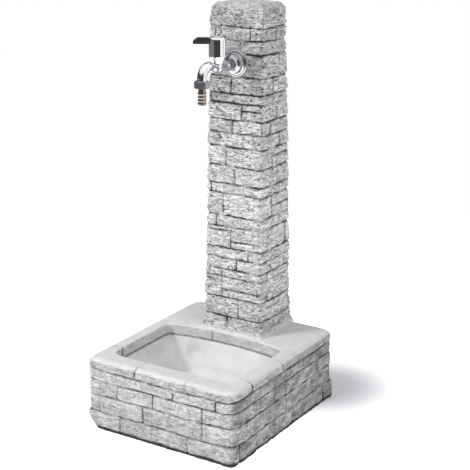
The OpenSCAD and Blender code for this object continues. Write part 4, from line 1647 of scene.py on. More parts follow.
    def carve(self, obj: bpy.types.Object) -> None:
        """Cuts the courses, the rough band and the rim's faint joints.

        Args:
            obj: The plain block, in small even faces.
        """
        grain = Grain(self.bond.seed)
        points, normals = read_mesh(obj)
        warped = self.bond.wandering(grain, points, 11, 48)
        x, y, z = points.T
        inside = self.inside_mouth(x, y, 3 * MM)
        level = (normals[:, 2] > 0.6) & ~inside & (z > self.high.z - self.rim_depth)
        level |= inside
        up = np.where(level, self.high.z - self.rim_depth, warped[:, 2])
        faces = self.faces(points, normals, warped, level)
        reach, stone, rise = self.bond.lay(faces, up)
        reach[level] = np.where(reach[level] > self.rim_joint, 1.0, reach[level])
        rise[level] = 0.5
        carving = carve_stone(grain, self.bond, points, reach, stone, rise)
        rim = step_between(0.25, 0.75, normals[:, 2]) * (z > self.high.z - 20 * MM)
        in_band = inside & (z > self.high.z - self.band - 2 * MM)
        in_bowl = inside & ~in_band
        rough = np.where(in_band, 0.5 - 0.35 * rim, 1 - 0.8 * rim)
        rough = np.where(in_bowl, 0.05, rough)
        inward = np.minimum(self.high.x - np.abs(x), self.to_ends(y))
        faded = rim * (0.45 + 0.3 * step_between(16 * MM, 30 * MM, inward))
        carving.groove *= np.where(in_bowl, 0.0, 1.0 - faded)
        free = self.free(points, normals, inside)
        height = carving.height(rough, self.bond.joint_depth) * free
        height += self.square_foot(normals, z) * free
        write_points(obj, self.knock_corner(points + normals * height[:, None]))
        # Painted shade: a dark line under the rough band's lip, and darker hollows on the faces turned to the
        # right.
        past_lip = (z - (self.high.z - self.band)) / self.lip_half
        lip = np.exp(-(past_lip**2)) * inside
        right_side_shade = 1 + 0.5 * step_between(0.5, 0.9, normals[:, 0])
        recess = np.clip(carving.recess(rough) * right_side_shade + 0.6 * lip, 0, 1)
        darkened_and_shaded = self.darkening_and_painted_shade(grain, points, normals, rim, inside, in_bowl)
        write_attribute(obj, "recess", np.maximum(recess * free, darkened_and_shaded))
        # The tone is darkened towards the bottom, and on the right side as painted shade.
        write_attribute(obj, "tone", np.clip(carving.tone + self.low_dark_and_right_shade(z, normals, inside), 0, 1.6))
        write_attribute(obj, "rough", rough)

    def to_ends(self, y: np.ndarray) -> np.ndarray:
        """The distance from the front or the back, whichever is nearer."""
        return np.minimum(y - self.low.y, self.high.y - y)

    def faces(
        self, points: np.ndarray, normals: np.ndarray, warped: np.ndarray, level: np.ndarray
    ) -> dict[Face, FacePoints]:
        """Shares the vertices out over the four faces.

        Args:
            points: The vertices.
            normals: Their normals.
            warped: The points that the joints are laid out from.
            level: Which of them lie on the rim or in the bowl.

        Returns:
            What Bond.lay needs.
        """
        x, y, _ = points.T
        to_side = self.high.x - np.abs(x)
        beside = to_side - self.rim_side < self.to_ends(y) - self.rim_front
        across = np.abs(normals[:, 0]) > np.abs(normals[:, 1])
        sideways = np.where(level, beside, across)
        forward = np.where(level, y < 0, normals[:, 1] < 0)
        right = np.where(level, x > 0, normals[:, 0] > 0)
        width = np.full(len(x), self.high.x - self.low.x)
        depth = np.full(len(x), self.high.y - self.low.y)
        return {
            Face.FRONT: (~sideways & forward, warped[:, 0] - self.low.x, width),
            Face.BACK: (~sideways & ~forward, self.high.x - warped[:, 0], width),
            Face.RIGHT: (sideways & right, warped[:, 1] - self.low.y, depth),
            Face.LEFT: (sideways & ~right, self.high.y - warped[:, 1], depth),
        }

    def darkening_and_painted_shade(
        self,
        grain: Grain,
        points: np.ndarray,
        normals: np.ndarray,
        rim: np.ndarray,
        inside: np.ndarray,
        in_bowl: np.ndarray,
    ) -> np.ndarray:
        """Stains in the bowl and on the rim, painted shade in the bowl's back left corner and on the right side,
        and a painted contact shadow at the ground.

        Args:
            grain: The noise to use.
            points: The vertices.
            normals: Their normals.
            rim: How far each belongs to the level rim.
            inside: Which lie within the mouth.
            in_bowl: Which lie below the rough band.

        Returns:
            How dark each vertex is.
        """
        x, y, z = points.T
        smears = grain.cloud(points, (14, 14, 22), 0.6)
        streaks = grain.cloud(points, (40, 40, 7), 0.8)
        right_shade_patches = grain.cloud(points, (30, 30, 60), 0.9, middle=0.4)
        # Painted shade in the bowl's back left corner.
        from_corner = np.hypot(x + self.mouth_x, y - self.mouth_back)
        shade = np.exp(-((from_corner / self.corner_shade) ** 2))
        stain_and_shade = in_bowl * (0.02 + 0.10 * smears**2 + 0.34 * shade * streaks * smears)
        stain_and_shade += rim * ~inside * 0.05 * smears**2
        # Painted contact shadow along the foot.
        uneven = z + 2 * MM * grain.noise(points * 30)
        under = 1 - step_between(self.contact_shadow_height, self.contact_shadow_height + 5 * MM, uneven)
        # Painted shade on the faces turned to the right.
        side = 0.45 * right_shade_patches * step_between(0.6, 0.9, normals[:, 0]) * ~inside
        side *= 1 - step_between(self.high.z - 30 * MM, self.high.z - 18 * MM, z)
        return np.maximum(stain_and_shade, np.maximum(side, 0.88 * under * ~inside))

    def low_dark_and_right_shade(self, up: np.ndarray, normals: np.ndarray, inside: np.ndarray) -> np.ndarray:
        """How much darker the stones are towards the bottom, and on the right as painted shade.

        Args:
            up: The vertices' heights.
            normals: Their normals.
            inside: Which lie within the mouth.

        Returns:
            What to add to each stone's tone.
        """
        low = 0.35 * (1 - step_between(10 * MM, 90 * MM, up))
        return (low + 0.3 * step_between(0.5, 0.8, normals[:, 0])) * (1 - inside)

    def square_foot(self, normals: np.ndarray, up: np.ndarray) -> np.ndarray:
        """Draws the block's lowest corners out to a tighter radius.

        Args:
            normals: The vertices' normals.
            up: Their heights.

        Returns:
            How far to move each vertex outwards.
        """
        diagonal = np.clip(2 * np.abs(normals[:, 0] * normals[:, 1]), 0, 1) ** 1.5
        low = 1 - step_between(self.square_to, self.square_to + 10 * MM, up)
        return (self.corner - self.foot_corner) * 0.4 * diagonal * low

    def knock_corner(self, points: np.ndarray) -> np.ndarray:
        """Knocks the front left corner of the foot off, along a slanting plane.

        Args:
            points: The vertices.

        Returns:
            The vertices, with those past the plane moved back to it.
        """
        way = np.array([1.0, 1.0, 0.9])
        corner = np.array([self.low.x, self.low.y, self.low.z])
        past = np.maximum(self.chip - (points - corner) @ way, 0)
        return points + past[:, None] * way / (way @ way)

    def inside_mouth(self, x: np.ndarray, y: np.ndarray, margin: float) -> np.ndarray:
        """Tests which points lie within the bowl's mouth, in plan.

        Args:
            x: Their places across.
            y: Their places from front to back.
            margin: How much wider than the mouth to look.

        Returns:
            True for each point within it.
        """
        back = self.mouth_back - self.back_radius + np.sqrt(np.maximum(self.back_radius**2 - x**2, 0))
        return (
            (np.abs(x) < self.mouth_x + margin)
            & (y > self.mouth_front - margin)
            & (y < np.minimum(back, self.mouth_back) + margin)
        )

    def free(self, points: np.ndarray, normals: np.ndarray, inside: np.ndarray) -> np.ndarray:
        """How far each vertex is free to be carved.

        Args:
            points: The vertices.
            normals: Their normals.
            inside: Which lie within the mouth.

        Returns:
            1 on the open faces and in the bowl, down to 0 underneath and in the passages.
        """
        x, y, z = points.T
        inset_x = self.high.x - np.abs(x)
        inset_y = self.to_ends(y)
        inset = np.minimum(np.minimum(inset_x, inset_y), self.high.z - z)
        at_corner = np.maximum(inset_x, inset_y) < self.corner + 2 * MM
        slack = np.where(at_corner, self.corner * 0.35, self.edge * 0.2)
        outer = 1 - step_between(3 * MM, 6 * MM, inset - slack)
        under = (normals[:, 2] < -0.5) & (z < 4 * MM)
        from_waste = np.hypot(x, y - self.waste.y)
        bowl = inside & (z > self.floor - 2 * MM) & (from_waste > self.waste_radius + 2 * MM)
        on_ledge = (y > self.mouth_back + 8 * MM) & (normals[:, 2] > 0.5)
        bedded = on_ledge & (np.abs(x) < self.mouth_x / 2)
        outer = np.where(bowl, 1.0, outer)
        return outer * np.where(under, 0.0, 1.0) * np.where(bedded, 0.4, 1.0)

    def build(self) -> bpy.types.Object:
        """Builds, carves and dresses the basin block.

        Returns:
            The finished piece.
        """
        obj = self.shape()
        self.even_mesh(obj)
        self.carve(obj)
        self.settle(obj)
        self.palette.dress(obj, "basin_stone")
        return ride(obj, "post", "basin_stone", "base_block")


COLUMN_BOND = Bond(
    courses=(
        Course(1000),
        Course(947, (0.12, 0.77), (0.55,), 0.7),
        Course(916),
        Course(883, (), (0.68,)),
        Course(829, (0.42,), (0.40,)),
        Course(788, (0.06,), (0.80,)),
        Course(765, (0.62,), (0.55,)),
        Course(724, (0.47,), (0.31,)),
        Course(691, (0.24, 0.83), (0.65,)),
        Course(656, (0.35,), (0.17, 0.38)),
        Course(608, (0.51,), (0.53,)),
        Course(564, (0.09, 0.68), (0.84,)),
        Course(540, (0.31,), (0.38,)),
        Course(484, (0.19,), ()),
        Course(456, (0.46,), (0.83,)),
        Course(402, (0.77,), (0.34,)),
        Course(375, (0.57,), (0.34,)),
        Course(346, (0.09, 0.32), (0.2,)),
        Course(326, (0.32,), (0.21,)),
        Course(271, (0.61,), ()),
        Course(222, (0.42,), (0.37,)),
    ),
    splits=(
        Split(860, Face.FRONT, 0.1, 0.75),
        Split(748, Face.FRONT, 0.62, 1.0),
        Split(637, Face.RIGHT, 0.38, 1.0),
        Split(511, Face.RIGHT, 0.38, 1.0),
        Split(445, Face.FRONT, 0.0, 0.46),
        Split(420, Face.FRONT, 0.46, 1.0),
        Split(315, Face.FRONT, 0.0, 0.32),
        Split(292, Face.FRONT, 0.32, 1.0),
        Split(254, Face.RIGHT, 0.0, 0.6),
    ),
    seed=11,
    relief=1.25,
)

BASIN_BOND = Bond(
    courses=(
        Course(184, (0.05, 0.35, 0.69), (0.18, 0.47, 0.89)),
        Course(158, (0.61, 0.89), (0.25, 0.80)),
        Course(131, (0.10, 0.23, 0.47, 0.80), (0.25, 0.50, 0.80)),
        Course(95, (0.10, 0.40, 0.80), (0.16, 0.50)),
        Course(51, (0.24, 0.70), (0.06, 0.22, 0.57, 0.89)),
        Course(-20),
    ),
    splits=(),
    seed=23,
    joint_half=2.1 * MM,
    joint_depth=3.4 * MM,
    batter=1.8 * MM,
    stone_offset=2.0 * MM,
    relief=0.85,
    other_side_shift=1,
)


def corner_radius(flats: float) -> float:
    """A hexagon's radius over its corners, from its width over flats."""
    return flats / 2 / math.cos(math.pi / 6)


def node_size(node: str) -> Vector:
    """A node's extent along X, Y and Z, in metres."""
    low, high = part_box(node)
    return high - low


def joint_place(joint: str) -> Vector:
    """A joint's place, in metres."""
    return Vector(next(j for j in frame["joints"] if j["name"] == joint)["pos_m"])


# --------------------------------------------------------------------------- tap


@dataclass
class TapPart:
    """What every piece of the tap shares: the tap's axes and its own frame.

    In the tap's own frame X points out from the stone, Z points up and the origin
    lies on its axis at the flange.
    """

    palette: Palette

    def __post_init__(self) -> None:
        """Reads the tap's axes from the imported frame."""
        self.handle = joint_place("handle_turn")
        self.outlet = joint_place("nut_spin")
        self.face = Vector((0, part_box("flange_gasket")[0].y, self.handle.z))
        self.own = Matrix.Translation(self.face) @ Matrix.Rotation(-math.pi / 2, 4, "Z")
        self.hub_x = self.face.y - self.handle.y
        self.spout_x = self.face.y - self.outlet.y

    def level(self, node: str) -> tuple[float, float]:
        """How far a node lies below and above the tap's axis."""
        low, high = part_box(node)
        return low.z - self.face.z, high.z - self.face.z

    def drill(
        self, name: str, radius: float, across: float, start: float, end: float, sides: int = 64
    ) -> bpy.types.Object:
        """Adds an upright cylinder in the piece's own frame.

        Args:
            name: The piece's name.
            radius: Its radius.
            across: Its place along X.
            start: Its lowest height.
            end: Its highest height.
            sides: Number of sides.

        Returns:
            The new object.
        """
        return Bench.rod(name, radius, Vector((across, 0, start)), Vector((across, 0, end)), sides)

    def dress(self, obj: bpy.types.Object, body: str, slot: str, *nodes: str) -> bpy.types.Object:
        """Dresses a piece and hangs it on its body."""
        self.palette.dress(obj, slot)
        return ride(obj, body, slot, *nodes)


@dataclass
class BellFlange(TapPart):
    """The stepped bell flange against the stone."""

    lip: float = 2.2 * MM
    shoulder_share: float = 0.645
    bore: float = 10.6 * MM
    neck: float = 14.2 * MM

    def build(self) -> bpy.types.Object:
        """Turns the flange.

        Returns:
            The finished piece.
        """
        radius, length = node_size("escutcheon").x / 2, node_size("escutcheon").y
        ring = radius * self.shoulder_share
        outline = rounded(
            [
                (self.bore, 0, 0),
                (radius, 0, 0.6 * MM),
                (radius, self.lip, 1.2 * MM),
                (radius - 3.0 * MM, self.lip + 1.8 * MM, 1.5 * MM),
                (radius - 4.4 * MM, self.lip + 0.8 * MM, 1.0 * MM),
                (ring + 3.0 * MM, self.lip + 2.2 * MM, 4 * MM),
                (ring + 0.4 * MM, length * 0.50, 1 * MM),
                (ring + 1.2 * MM, length * 0.54, 0.8 * MM),
                (ring + 1.2 * MM, length * 0.68, 1.6 * MM),
                (ring - 2.6 * MM, length * 0.78, 1.6 * MM),
                (self.neck + 1.6 * MM, length * 0.86, 1.2 * MM),
                (self.neck, length, 0.8 * MM),
                (self.bore, length, 0.3 * MM),
                (self.bore, 0, 0),
            ],
            6,
        )
        obj = Bench.turned("bell_flange", outline, 128)
        Bench.place(obj, self.own @ Matrix.Rotation(math.pi / 2, 4, "Y"))
        Bench.smooth(obj, 40)
        write_attribute(obj, "worn", np.full(len(obj.data.vertices), 0.55))
        return self.dress(obj, "post", "tap_chrome", "escutcheon")


@dataclass
class CastBody(TapPart):
    """The cast tap body: shank, hexagon, barrel, neck and bent spout."""

    barrel: float = 9.9 * MM
    waist: float = 8.9 * MM
    spout: float = 11.6 * MM
    mouth: float = 12.2 * MM
    neck: float = 11.7 * MM
    hex_flats: float = 25 * MM
    hex_length: float = 14 * MM
    bend: float = 27 * MM
    bend_steps: int = 14
    rise: float = 29.5
    rise_from_hub: float = 16 * MM
    arc_height: float = 10.5 * MM
    mouth_height: float = 8.5 * MM
    hex_arris: float = 1.1 * MM
    fillet_length: float = 13 * MM
    shank: float = 10.4 * MM
    shank_length: float = 14 * MM
    inlet: float = 5 * MM
    inlet_depth: float = 20 * MM
    thread: float = 13.15 * MM
    thread_length: float = 8.6 * MM
    water: float = 6.6 * MM
    water_depth: float = 16 * MM
    chamber: float = 9.02 * MM
    chamber_floor: float = 7 * MM
    voxel: float = 0.62 * MM

    def path(self) -> tuple[list[Vector], list[float]]:
        """Lays out the barrel and the spout.

        Returns:
            The points of their middle line, and the radius at each.
        """
        bend_low, _ = self.level("tap_body")
        start = Vector((node_size("escutcheon").y - 2 * MM, 0, 0))
        rise_at = Vector((self.hub_x + self.rise_from_hub, 0, 0))
        arc_middle = Vector((self.spout_x - self.bend, 0, bend_low + self.arc_height))
        points = [start, Vector((self.hub_x * 0.62, 0, 0)), Vector((self.hub_x, 0, 0))]
        points.append(rise_at - Vector((6 * MM, 0, 0)))
        points.append(rise_at + Vector((1.5 * MM, 0, 0.9 * MM)))
        radii = [self.barrel, self.waist, self.barrel, self.barrel, self.barrel]
        for step in range(self.bend_steps + 1):
            turn = math.radians(90 + self.rise) * (1 - step / self.bend_steps)
            way = Vector((math.cos(turn), 0, math.sin(turn)))
            points.append(arc_middle + way * self.bend)
            share = step / self.bend_steps
            radii.append(self.barrel + (self.spout - self.barrel) * min(share * 2, 1))
        end = Vector((self.spout_x, 0, bend_low + self.mouth_height))
        points += [end + Vector((0, 0, 0.6 * MM)), end]
        radii += [self.mouth, self.mouth - 0.5 * MM]
        return points, radii

    def build(self) -> bpy.types.Object:
        """Sweeps, joins and hollows the body, and softens its joins like a casting.

        Returns:
            The finished piece.
        """
        low, high = self.level("tap_body")
        flange = node_size("escutcheon").y
        obj = self.casting(flange, high)
        hexagon = Bench.rod(
            "hexagon",
            corner_radius(self.hex_flats),
            Vector((flange, 0, 0)),
            Vector((flange + self.hex_length, 0, 0)),
            6,
        )
        Bench.pick(hexagon, "EDGE", lambda *_: True)
        Bench.bevel(self.hex_arris, 3)
        shank = Bench.rod(
            "shank", self.shank, Vector((-self.shank_length, 0, 0)), Vector((flange + MM, 0, 0))
        )
        inlet = Bench.rod(
            "inlet",
            self.inlet,
            Vector((-self.shank_length - MM, 0, 0)),
            Vector((flange + self.inlet_depth, 0, 0)),
        )
        thread = self.drill("thread", self.thread, self.spout_x, low, low + self.thread_length)
        bore = self.drill("bore", self.water, self.spout_x, low - MM, low + self.water_depth)
        chamber = self.drill("chamber", self.chamber, self.hub_x, self.chamber_floor, high + 5 * MM)
        Bench.weld(obj, hexagon, shank, thread)
        Bench.cut(obj, chamber, bore, inlet)
        along = read_mesh(obj)[0][:, 0]
        on_hexagon = (along < flange + self.hex_length + 4 * MM).astype(float)
        write_attribute(obj, "worn", on_hexagon)
        Bench.place(obj, self.own)
        Bench.smooth(obj, 38)
        return self.dress(obj, "post", "tap_chrome", "tap_body")

    def casting(self, flange: float, high: float) -> bpy.types.Object:
        """Models the barrel, neck and spout and blends them into one casting.

        Args:
            flange: Where the flange ends along the tap.
            high: How high the neck stands over the tap's axis.

        Returns:
            The solid casting.
        """
        obj = Bench.swept("cast_body", *self.path())
        neck = self.drill("neck", self.neck, self.hub_x, 0, high)
        root = Bench.ball("root", self.neck, Vector((self.hub_x, 0, 0)))
        fillet = Bench.turned(
            "fillet",
            rounded(
                [
                    (0, 0, 0),
                    (self.hex_flats / 2 - 1.4 * MM, 0, 0),
                    (self.barrel + 1.2 * MM, 4 * MM, 3 * MM),
                    (self.barrel - 0.6 * MM, self.fillet_length, 0),
                    (0, self.fillet_length, 0),
                ]
            ),
            64,
        )
        Bench.place(
            fillet,
            Matrix.Translation((flange + self.hex_length - 0.4 * MM, 0, 0))
            @ Matrix.Rotation(math.pi / 2, 4, "Y"),
        )
        Bench.weld(obj, neck, root, fillet)
        size = self.voxel * 1
        Bench.apply(obj, "REMESH", mode="VOXEL", voxel_size=size)
        return Bench.apply(obj, "SMOOTH", factor=0.5, iterations=9)


@dataclass
class LeverHandle(TapPart):
    """The handle: a chromed cup, its cap and a black lever."""

    turn: float = -150.0
    taper: float = 16 * MM
    mouth: float = 12.8 * MM
    crown: float = 5.5 * MM
    cap_radius: float = 8 * MM
    boss: float = 47 * MM
    seat: float = 59 * MM
    lever_width: float = 13 * MM
    lever_length: float = 57 * MM
    tip_length: float = 10 * MM
    tip_drop: float = 8 * MM
    arris: float = 1.7 * MM
    wall: float = 3.5 * MM
    screw_hole: float = 2.3 * MM
    boss_radius: float = 4.2 * MM
    tenon_start: float = 11 * MM
    tenon_half: float = 5 * MM
    tenon_inset: float = 1.5 * MM
    slot_clear: float = 0.15 * MM

    def __post_init__(self) -> None:
        """Works out the handle's own frame, round the axis that it turns on."""
        super().__post_init__()
        self.own = Matrix.Translation(self.handle) @ Matrix.Rotation(math.radians(self.turn), 4, "Z")

    def cup(self) -> bpy.types.Object:
        """Turns the cup with its rounded crown and hollow inside.

        Returns:
            The finished piece.
        """
        low, high = self.level("handle_hub")
        radius = node_size("handle_hub").x / 2
        outline = rounded(
            [
                (self.mouth, low, 0),
                (self.mouth + 1.7 * MM, low, 0.5 * MM),
                (radius, low + self.taper, 3.2 * MM),
                (radius, high - self.crown * 0.6, self.crown),
                (radius - self.crown, high, self.crown),
                (self.cap_radius + 1.2 * MM, high, 0.5 * MM),
                (self.cap_radius + 0.25 * MM, high - 1.0 * MM, 0.3 * MM),
                (self.cap_radius + 0.1 * MM, self.seat, 0),
                (self.screw_hole, self.seat, 0),
                (self.screw_hole, self.seat - 2.4 * MM, 0),
                (self.boss_radius, self.seat - 2.5 * MM, 0),
                (self.boss_radius, self.boss, 0),
                (radius - self.wall, self.boss, 0),
                (radius - self.wall, low + self.taper, 0),
                (self.mouth, low + self.taper * 0.5, 0),
                (self.mouth, low, 0),
            ],
            8,
        )
        obj = Bench.turned("handle_cup", outline, 128)
        lever_low, lever_high = self.level("lever")
        half, inset = self.tenon_half + self.slot_clear, self.tenon_inset - self.slot_clear
        slot = Bench.block(
            "slot_cutter",
            (self.tenon_start - 0.2 * MM, -half, lever_low + inset),
            (radius + 5 * MM, half, lever_high - inset),
        )
        Bench.cut(obj, slot)
        Bench.place(obj, self.own)
        Bench.smooth(obj, 32)
        return self.dress(obj, "handle", "tap_chrome", "handle_hub")

    def cap(self) -> bpy.types.Object:
        """Turns the slightly domed cap.

        Returns:
            The finished piece.
        """
        low, high = self.level("index_cap")
        inner, outer = self.cap_radius - 1.5 * MM, self.cap_radius - 0.05 * MM
        under, crown = low + 3 * MM, high + 0.35 * MM
        outline = rounded(
            [
                (inner, low, 0),
                (outer, low, 0.3 * MM),
                (outer, high - 0.3 * MM, 0.8 * MM),
                (self.cap_radius * 0.6, high + 0.2 * MM, 3 * MM),
                (0.4 * MM, crown, 0),
                (0.4 * MM, under, 0),
                (inner, under, 0),
                (inner, low, 0),
            ],
            6,
        )
        obj = Bench.turned("handle_cap", outline, 96)
        Bench.weld(obj, self.drill("plug", 0.5 * MM, 0, under, crown))
        Bench.place(obj, self.own)
        Bench.smooth(obj, 30)
        return self.dress(obj, "handle", "tap_chrome", "index_cap")

    def lever(self) -> bpy.types.Object:
        """Models the lever with a sloped tip and soft arrises.

        Returns:
            The finished piece.
        """
        low, high = self.level("lever")
        radius = node_size("handle_hub").x / 2
        half = self.lever_width / 2
        obj = Bench.block("lever_blade", (radius - 2 * MM, -half, low), (self.lever_length, half, high))
        tip = self.lever_length - MM
        Bench.pick(obj, "EDGE", lambda at, _: at.x > tip and at.z > high - MM)
        Bench.bevel(self.tip_drop, 1)
        stretch = self.tip_length - self.tip_drop
        Bench.pick(obj, "VERT", lambda at, _: radius < at.x < tip and at.z > high - MM)
        bpy.ops.transform.translate(value=(-stretch, 0, 0))
        bpy.ops.object.mode_set(mode="OBJECT")
        Bench.pick(obj, "EDGE", lambda at, _: at.x > radius)
        Bench.bevel(self.arris, 5)
        Bench.cut(obj, self.drill("hub_cutter", radius + 0.05 * MM, 0, low - 5 * MM, high + 5 * MM, 128))
        tenon = Bench.block(
            "tenon",
            (self.tenon_start, -self.tenon_half, low + self.tenon_inset),
            (radius + 2 * MM, self.tenon_half, high - self.tenon_inset),
        )
        Bench.weld(obj, tenon)
        Bench.place(obj, self.own)
        Bench.smooth(obj, 40)
        return self.dress(obj, "handle", "lever_plastic", "lever")

    def build(self) -> None:
        """Builds the cup, the cap and the lever."""
        self.cup()
        self.cap()
        self.lever()


@dataclass
class HoseUnion(TapPart):
    """The union nut and the barbed hose tail."""

    flats: float = 32 * MM
    thread: float = 13.25 * MM
    shoulder: float = 3 * MM
    tail: float = 10.2 * MM
    tail_bore: float = 6.5 * MM
    flange_height: float = 2.5 * MM
    arris: float = 1.0 * MM
    chamfer: float = 2.4 * MM
    tail_clear: float = 0.6 * MM
    thread_clear: float = 0.7 * MM
    plain_length: float = 8 * MM
    barb_height: float = 1.5 * MM
    barbs: int = 4
    foot_flare: float = 0.3 * MM

    def nut(self) -> bpy.types.Object:
        """Models the nut: a hexagon trimmed by a turned outline.

        Returns:
            The finished piece.
        """
        low, high = self.level("union_nut")
        corner, edge = corner_radius(self.flats) + 0.8 * MM, self.flats / 2 - 0.6 * MM
        obj = self.drill("nut", corner_radius(self.flats), 0, low, high, 6)
        Bench.place(obj, Matrix.Rotation(math.pi / 6, 4, "Z"))
        Bench.pick(obj, "EDGE", upright)
        Bench.bevel(self.arris, 4)
        outline = rounded(
            [
                (0, low, 0),
                (edge, low, 0.6 * MM),
                (corner, low + self.chamfer, 0),
                (corner, high - self.chamfer, 0),
                (edge, high, 0.6 * MM),
                (0, high, 0),
            ]
        )
        Bench.trim(obj, Bench.turned("trim", outline))
        hole = self.tail + self.tail_clear
        Bench.cut(
            obj,
            self.drill("thread_cutter", self.thread, 0, low + self.shoulder, high + MM),
            self.drill("tail_cutter", hole, 0, low - MM, high + MM),
        )
        Bench.place(obj, Matrix.Translation(self.outlet) @ Matrix.Rotation(math.pi / 2, 4, "Z"))
        Bench.smooth(obj, 32)
        return self.dress(obj, "nut", "nut_nickel", "union_nut")

    def hose_tail(self) -> bpy.types.Object:
        """Turns the hose tail with its saw-toothed barbs and flared foot.

        Returns:
            The finished piece.
        """
        low, high = self.level("hose_tail")
        nut_low, _ = self.level("union_nut")
        pitch = (nut_low - low - self.plain_length) / self.barbs
        neck = self.tail - self.barb_height
        flange, under = self.thread - self.thread_clear, high - self.flange_height
        outer: Rounding = [(self.tail_bore, low, 0), (self.tail - 1.6 * MM, low, 0.8 * MM)]
        for number in range(self.barbs):
            foot = low + number * pitch
            flare = 0 if number else self.foot_flare
            outer += [
                (self.tail + flare, foot + pitch * 0.40, 0.4 * MM),
                (self.tail, foot + pitch * 0.72, 0.5 * MM),
                (neck, foot + pitch * 0.86, 0.4 * MM),
                (neck, foot + pitch, 0.3 * MM),
            ]
        outer += [
            (neck, under, 0),
            (flange, under, 0),
            (flange, high, 0),
            (self.tail_bore, high, 0),
            (self.tail_bore, low, 0),
        ]
        obj = Bench.turned("barbed_tail", rounded(outer, 4), 96)
        Bench.place(obj, Matrix.Translation(self.outlet))
        Bench.smooth(obj, 34)
        return self.dress(obj, "post", "tail_nickel", "hose_tail")

    def build(self) -> None:
        """Builds the nut and the tail."""
        self.nut()
        self.hose_tail()


@dataclass
class InnerWorks:
    """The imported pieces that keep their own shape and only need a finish."""

    palette: Palette

    def build(self) -> None:
        """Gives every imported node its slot's finish."""
        for entry in frame["record"]["subparts"]:
            node = frame["nodes"][entry["node"]]
            self.palette.dress(node, entry["material_slot"])


# --------------------------------------------------------------------------- studio


@dataclass(frozen=True)
class Lamp:
    """A square soft light."""

    name: str
    at: tuple[float, float, float]
    size: float
    watts: float
    colour: Colour


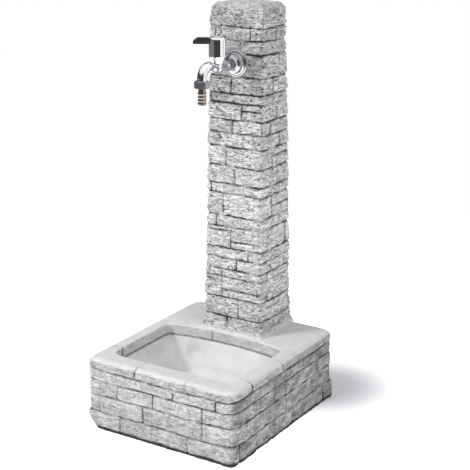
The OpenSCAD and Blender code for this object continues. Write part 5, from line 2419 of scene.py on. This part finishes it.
@dataclass
class Studio:
    """Floor, lights, sky and camera."""

    eye: tuple[float, float, float] = (1.6035, -2.4262, 1.3647)
    aim: tuple[float, float, float] = (0.0458, 0.0290, 0.4613)
    lens: float = 97.1
    sensor: float = 36.0
    clip: tuple[float, float] = (0.05, 60.0)
    lamps: tuple[Lamp, ...] = (
        Lamp("key", (-2.3, -2.8, 2.9), 1.0, 132, (1.0, 0.99, 0.98)),
        Lamp("fill", (2.8, -1.6, 2.0), 2.0, 44, (0.96, 0.98, 1.0)),
    )
    lit: tuple[float, float, float] = (0.0, 0.0, 0.45)
    ambient: float = 0.5
    sky_tint: Colour = (0.98, 0.99, 1.0)
    screen: tuple[float, float] = (34.0, 160.0)
    screen_gap: float = 78.0
    screen_light: float = 1.1
    grey_edge: float = 0.7
    grey_light: float = 0.16
    room_light: float = 0.05
    floor_radius: float = 2.0
    floor_tones: tuple[Colour, Colour] = ((0.84, 0.85, 0.87), (0.86, 0.87, 0.89))
    shadow_at: tuple[float, float, float] = (0.17, 0.29, 0.0)
    shadow_radius: float = 0.28

    def camera(self) -> None:
        """Sets the camera."""
        data = bpy.data.cameras.new("view")
        data.lens, data.sensor_width = self.lens, self.sensor
        data.clip_start, data.clip_end = self.clip
        camera = bpy.data.objects.new("view", data)
        bpy.context.scene.collection.objects.link(camera)
        camera.location = self.eye
        way = Vector(self.aim) - Vector(self.eye)
        camera.rotation_euler = way.to_track_quat("-Z", "Y").to_euler()
        bpy.context.scene.camera = camera

    def light(self, lamp: Lamp) -> None:
        """Adds a lamp that faces the post.

        Args:
            lamp: The lamp.
        """
        data = bpy.data.lights.new(lamp.name, "AREA")
        data.size, data.energy, data.color = lamp.size, lamp.watts, lamp.colour
        light = bpy.data.objects.new(lamp.name, data)
        bpy.context.scene.collection.objects.link(light)
        light.location = lamp.at
        way = Vector(self.lit) - Vector(lamp.at)
        light.rotation_euler = way.to_track_quat("-Z", "Y").to_euler()
        light.visible_glossy = False

    def sky(self) -> None:
        """Builds the world.

        The camera sees white, stone gets a soft even light, and metal reflects a dark
        room with bright screens to one side.
        """
        world = bpy.data.worlds.new("studio")
        bpy.context.scene.world = world
        world.use_nodes = True
        graph = Graph(world.node_tree)
        way = graph.wire("ShaderNodeTexCoord", {}, {}, "Generated")
        split = graph.node("ShaderNodeSeparateXYZ", {}, {0: way})
        x, y, z = (Wire(graph, split.outputs[k]) for k in range(3))
        turn = math.atan2(self.eye[0], -self.eye[1])
        right = x * math.cos(turn) + y * math.sin(turn)
        toward = x * math.sin(turn) - y * math.cos(turn)
        azimuth = graph.wire("ShaderNodeMath", {"operation": "ARCTAN2"}, {0: right, 1: toward})
        low, high = (math.radians(a) for a in self.screen)
        gap = math.radians(self.screen_gap)
        screen = azimuth.between(low, low + 0.1) * azimuth.between(high + 0.1, high)
        screen = screen * (azimuth - gap).absolute().between(0.03, 0.09)
        bright = (screen + z.between(0.35, 0.7)).clamped()
        grey = azimuth.between(-self.grey_edge, -self.grey_edge - 0.25) * z.between(0.1, -0.1)
        reflected = bright * self.screen_light + grey * self.grey_light + self.room_light
        rays = graph.node("ShaderNodeLightPath", {}, {})
        seen = Wire(graph, rays.outputs["Is Camera Ray"])
        glossy = Wire(graph, rays.outputs["Is Glossy Ray"])
        indirect = glossy * (reflected - self.ambient) + self.ambient
        strength = indirect * (1 - seen) + seen
        tint = graph.mix(seen, rgba(self.sky_tint), rgba(WHITE))
        light = graph.node("ShaderNodeBackground", {}, {"Color": tint, "Strength": strength})
        graph.node("ShaderNodeOutputWorld", {}, {"Surface": Wire(graph, light.outputs[0])})

    def floor(self) -> None:
        """A pale floor that glows white, painted light that hides the shadows everywhere but in a window behind
        the post.
        """
        Bench.clear()
        bpy.ops.mesh.primitive_circle_add(vertices=96, radius=self.floor_radius, fill_type="NGON")
        obj = Bench.adopt("floor")
        material = bpy.data.materials.new("pale_floor")
        material.use_nodes = True
        graph = Graph(material.node_tree)
        here = graph.place()
        away = graph.wire(
            "ShaderNodeVectorMath", {"operation": "DISTANCE"}, {0: here, 1: self.shadow_at}, "Value"
        )
        # Painted light: the floor glows white away from a window behind the post, so shadows show only there.
        glow = away.between(self.shadow_radius * 0.15, self.shadow_radius)
        patch = graph.noise(here, 3, 2, 0.4)
        shader = graph.node(
            "ShaderNodeBsdfPrincipled",
            {},
            {
                "Base Color": graph.mix(patch * 0.3, *(rgba(c) for c in self.floor_tones)),
                "Roughness": 0.9,
                "Specular IOR Level": 0.0,
                "Emission Color": graph.mix(glow, rgba(BLACK), rgba(WHITE)),
                "Emission Strength": 1.0,
            },
        )
        graph.node("ShaderNodeOutputMaterial", {}, {"Surface": Wire(graph, shader.outputs[0])})
        obj.data.materials.append(material)

    def build(self) -> None:
        """Sets the whole studio up."""
        self.camera()
        self.sky()
        for lamp in self.lamps:
            self.light(lamp)
        self.floor()
        view = bpy.context.scene.view_settings
        view.view_transform = "Standard"
        view.look = "None"
        view.exposure = 0.0


def main() -> None:
    """Builds the post and the studio, in order."""
    logging.basicConfig(level=logging.INFO, format="%(name)s %(message)s", stream=sys.stdout)
    palette = Palette()
    Studio().build()
    InnerWorks(palette).build()
    Column(palette).build()
    BasinBlock(palette).build()
    Pointing(palette).build()
    BellFlange(palette).build()
    CastBody(palette).build()
    LeverHandle(palette).build()
    HoseUnion(palette).build()


if __name__ == "__main__":
    main()
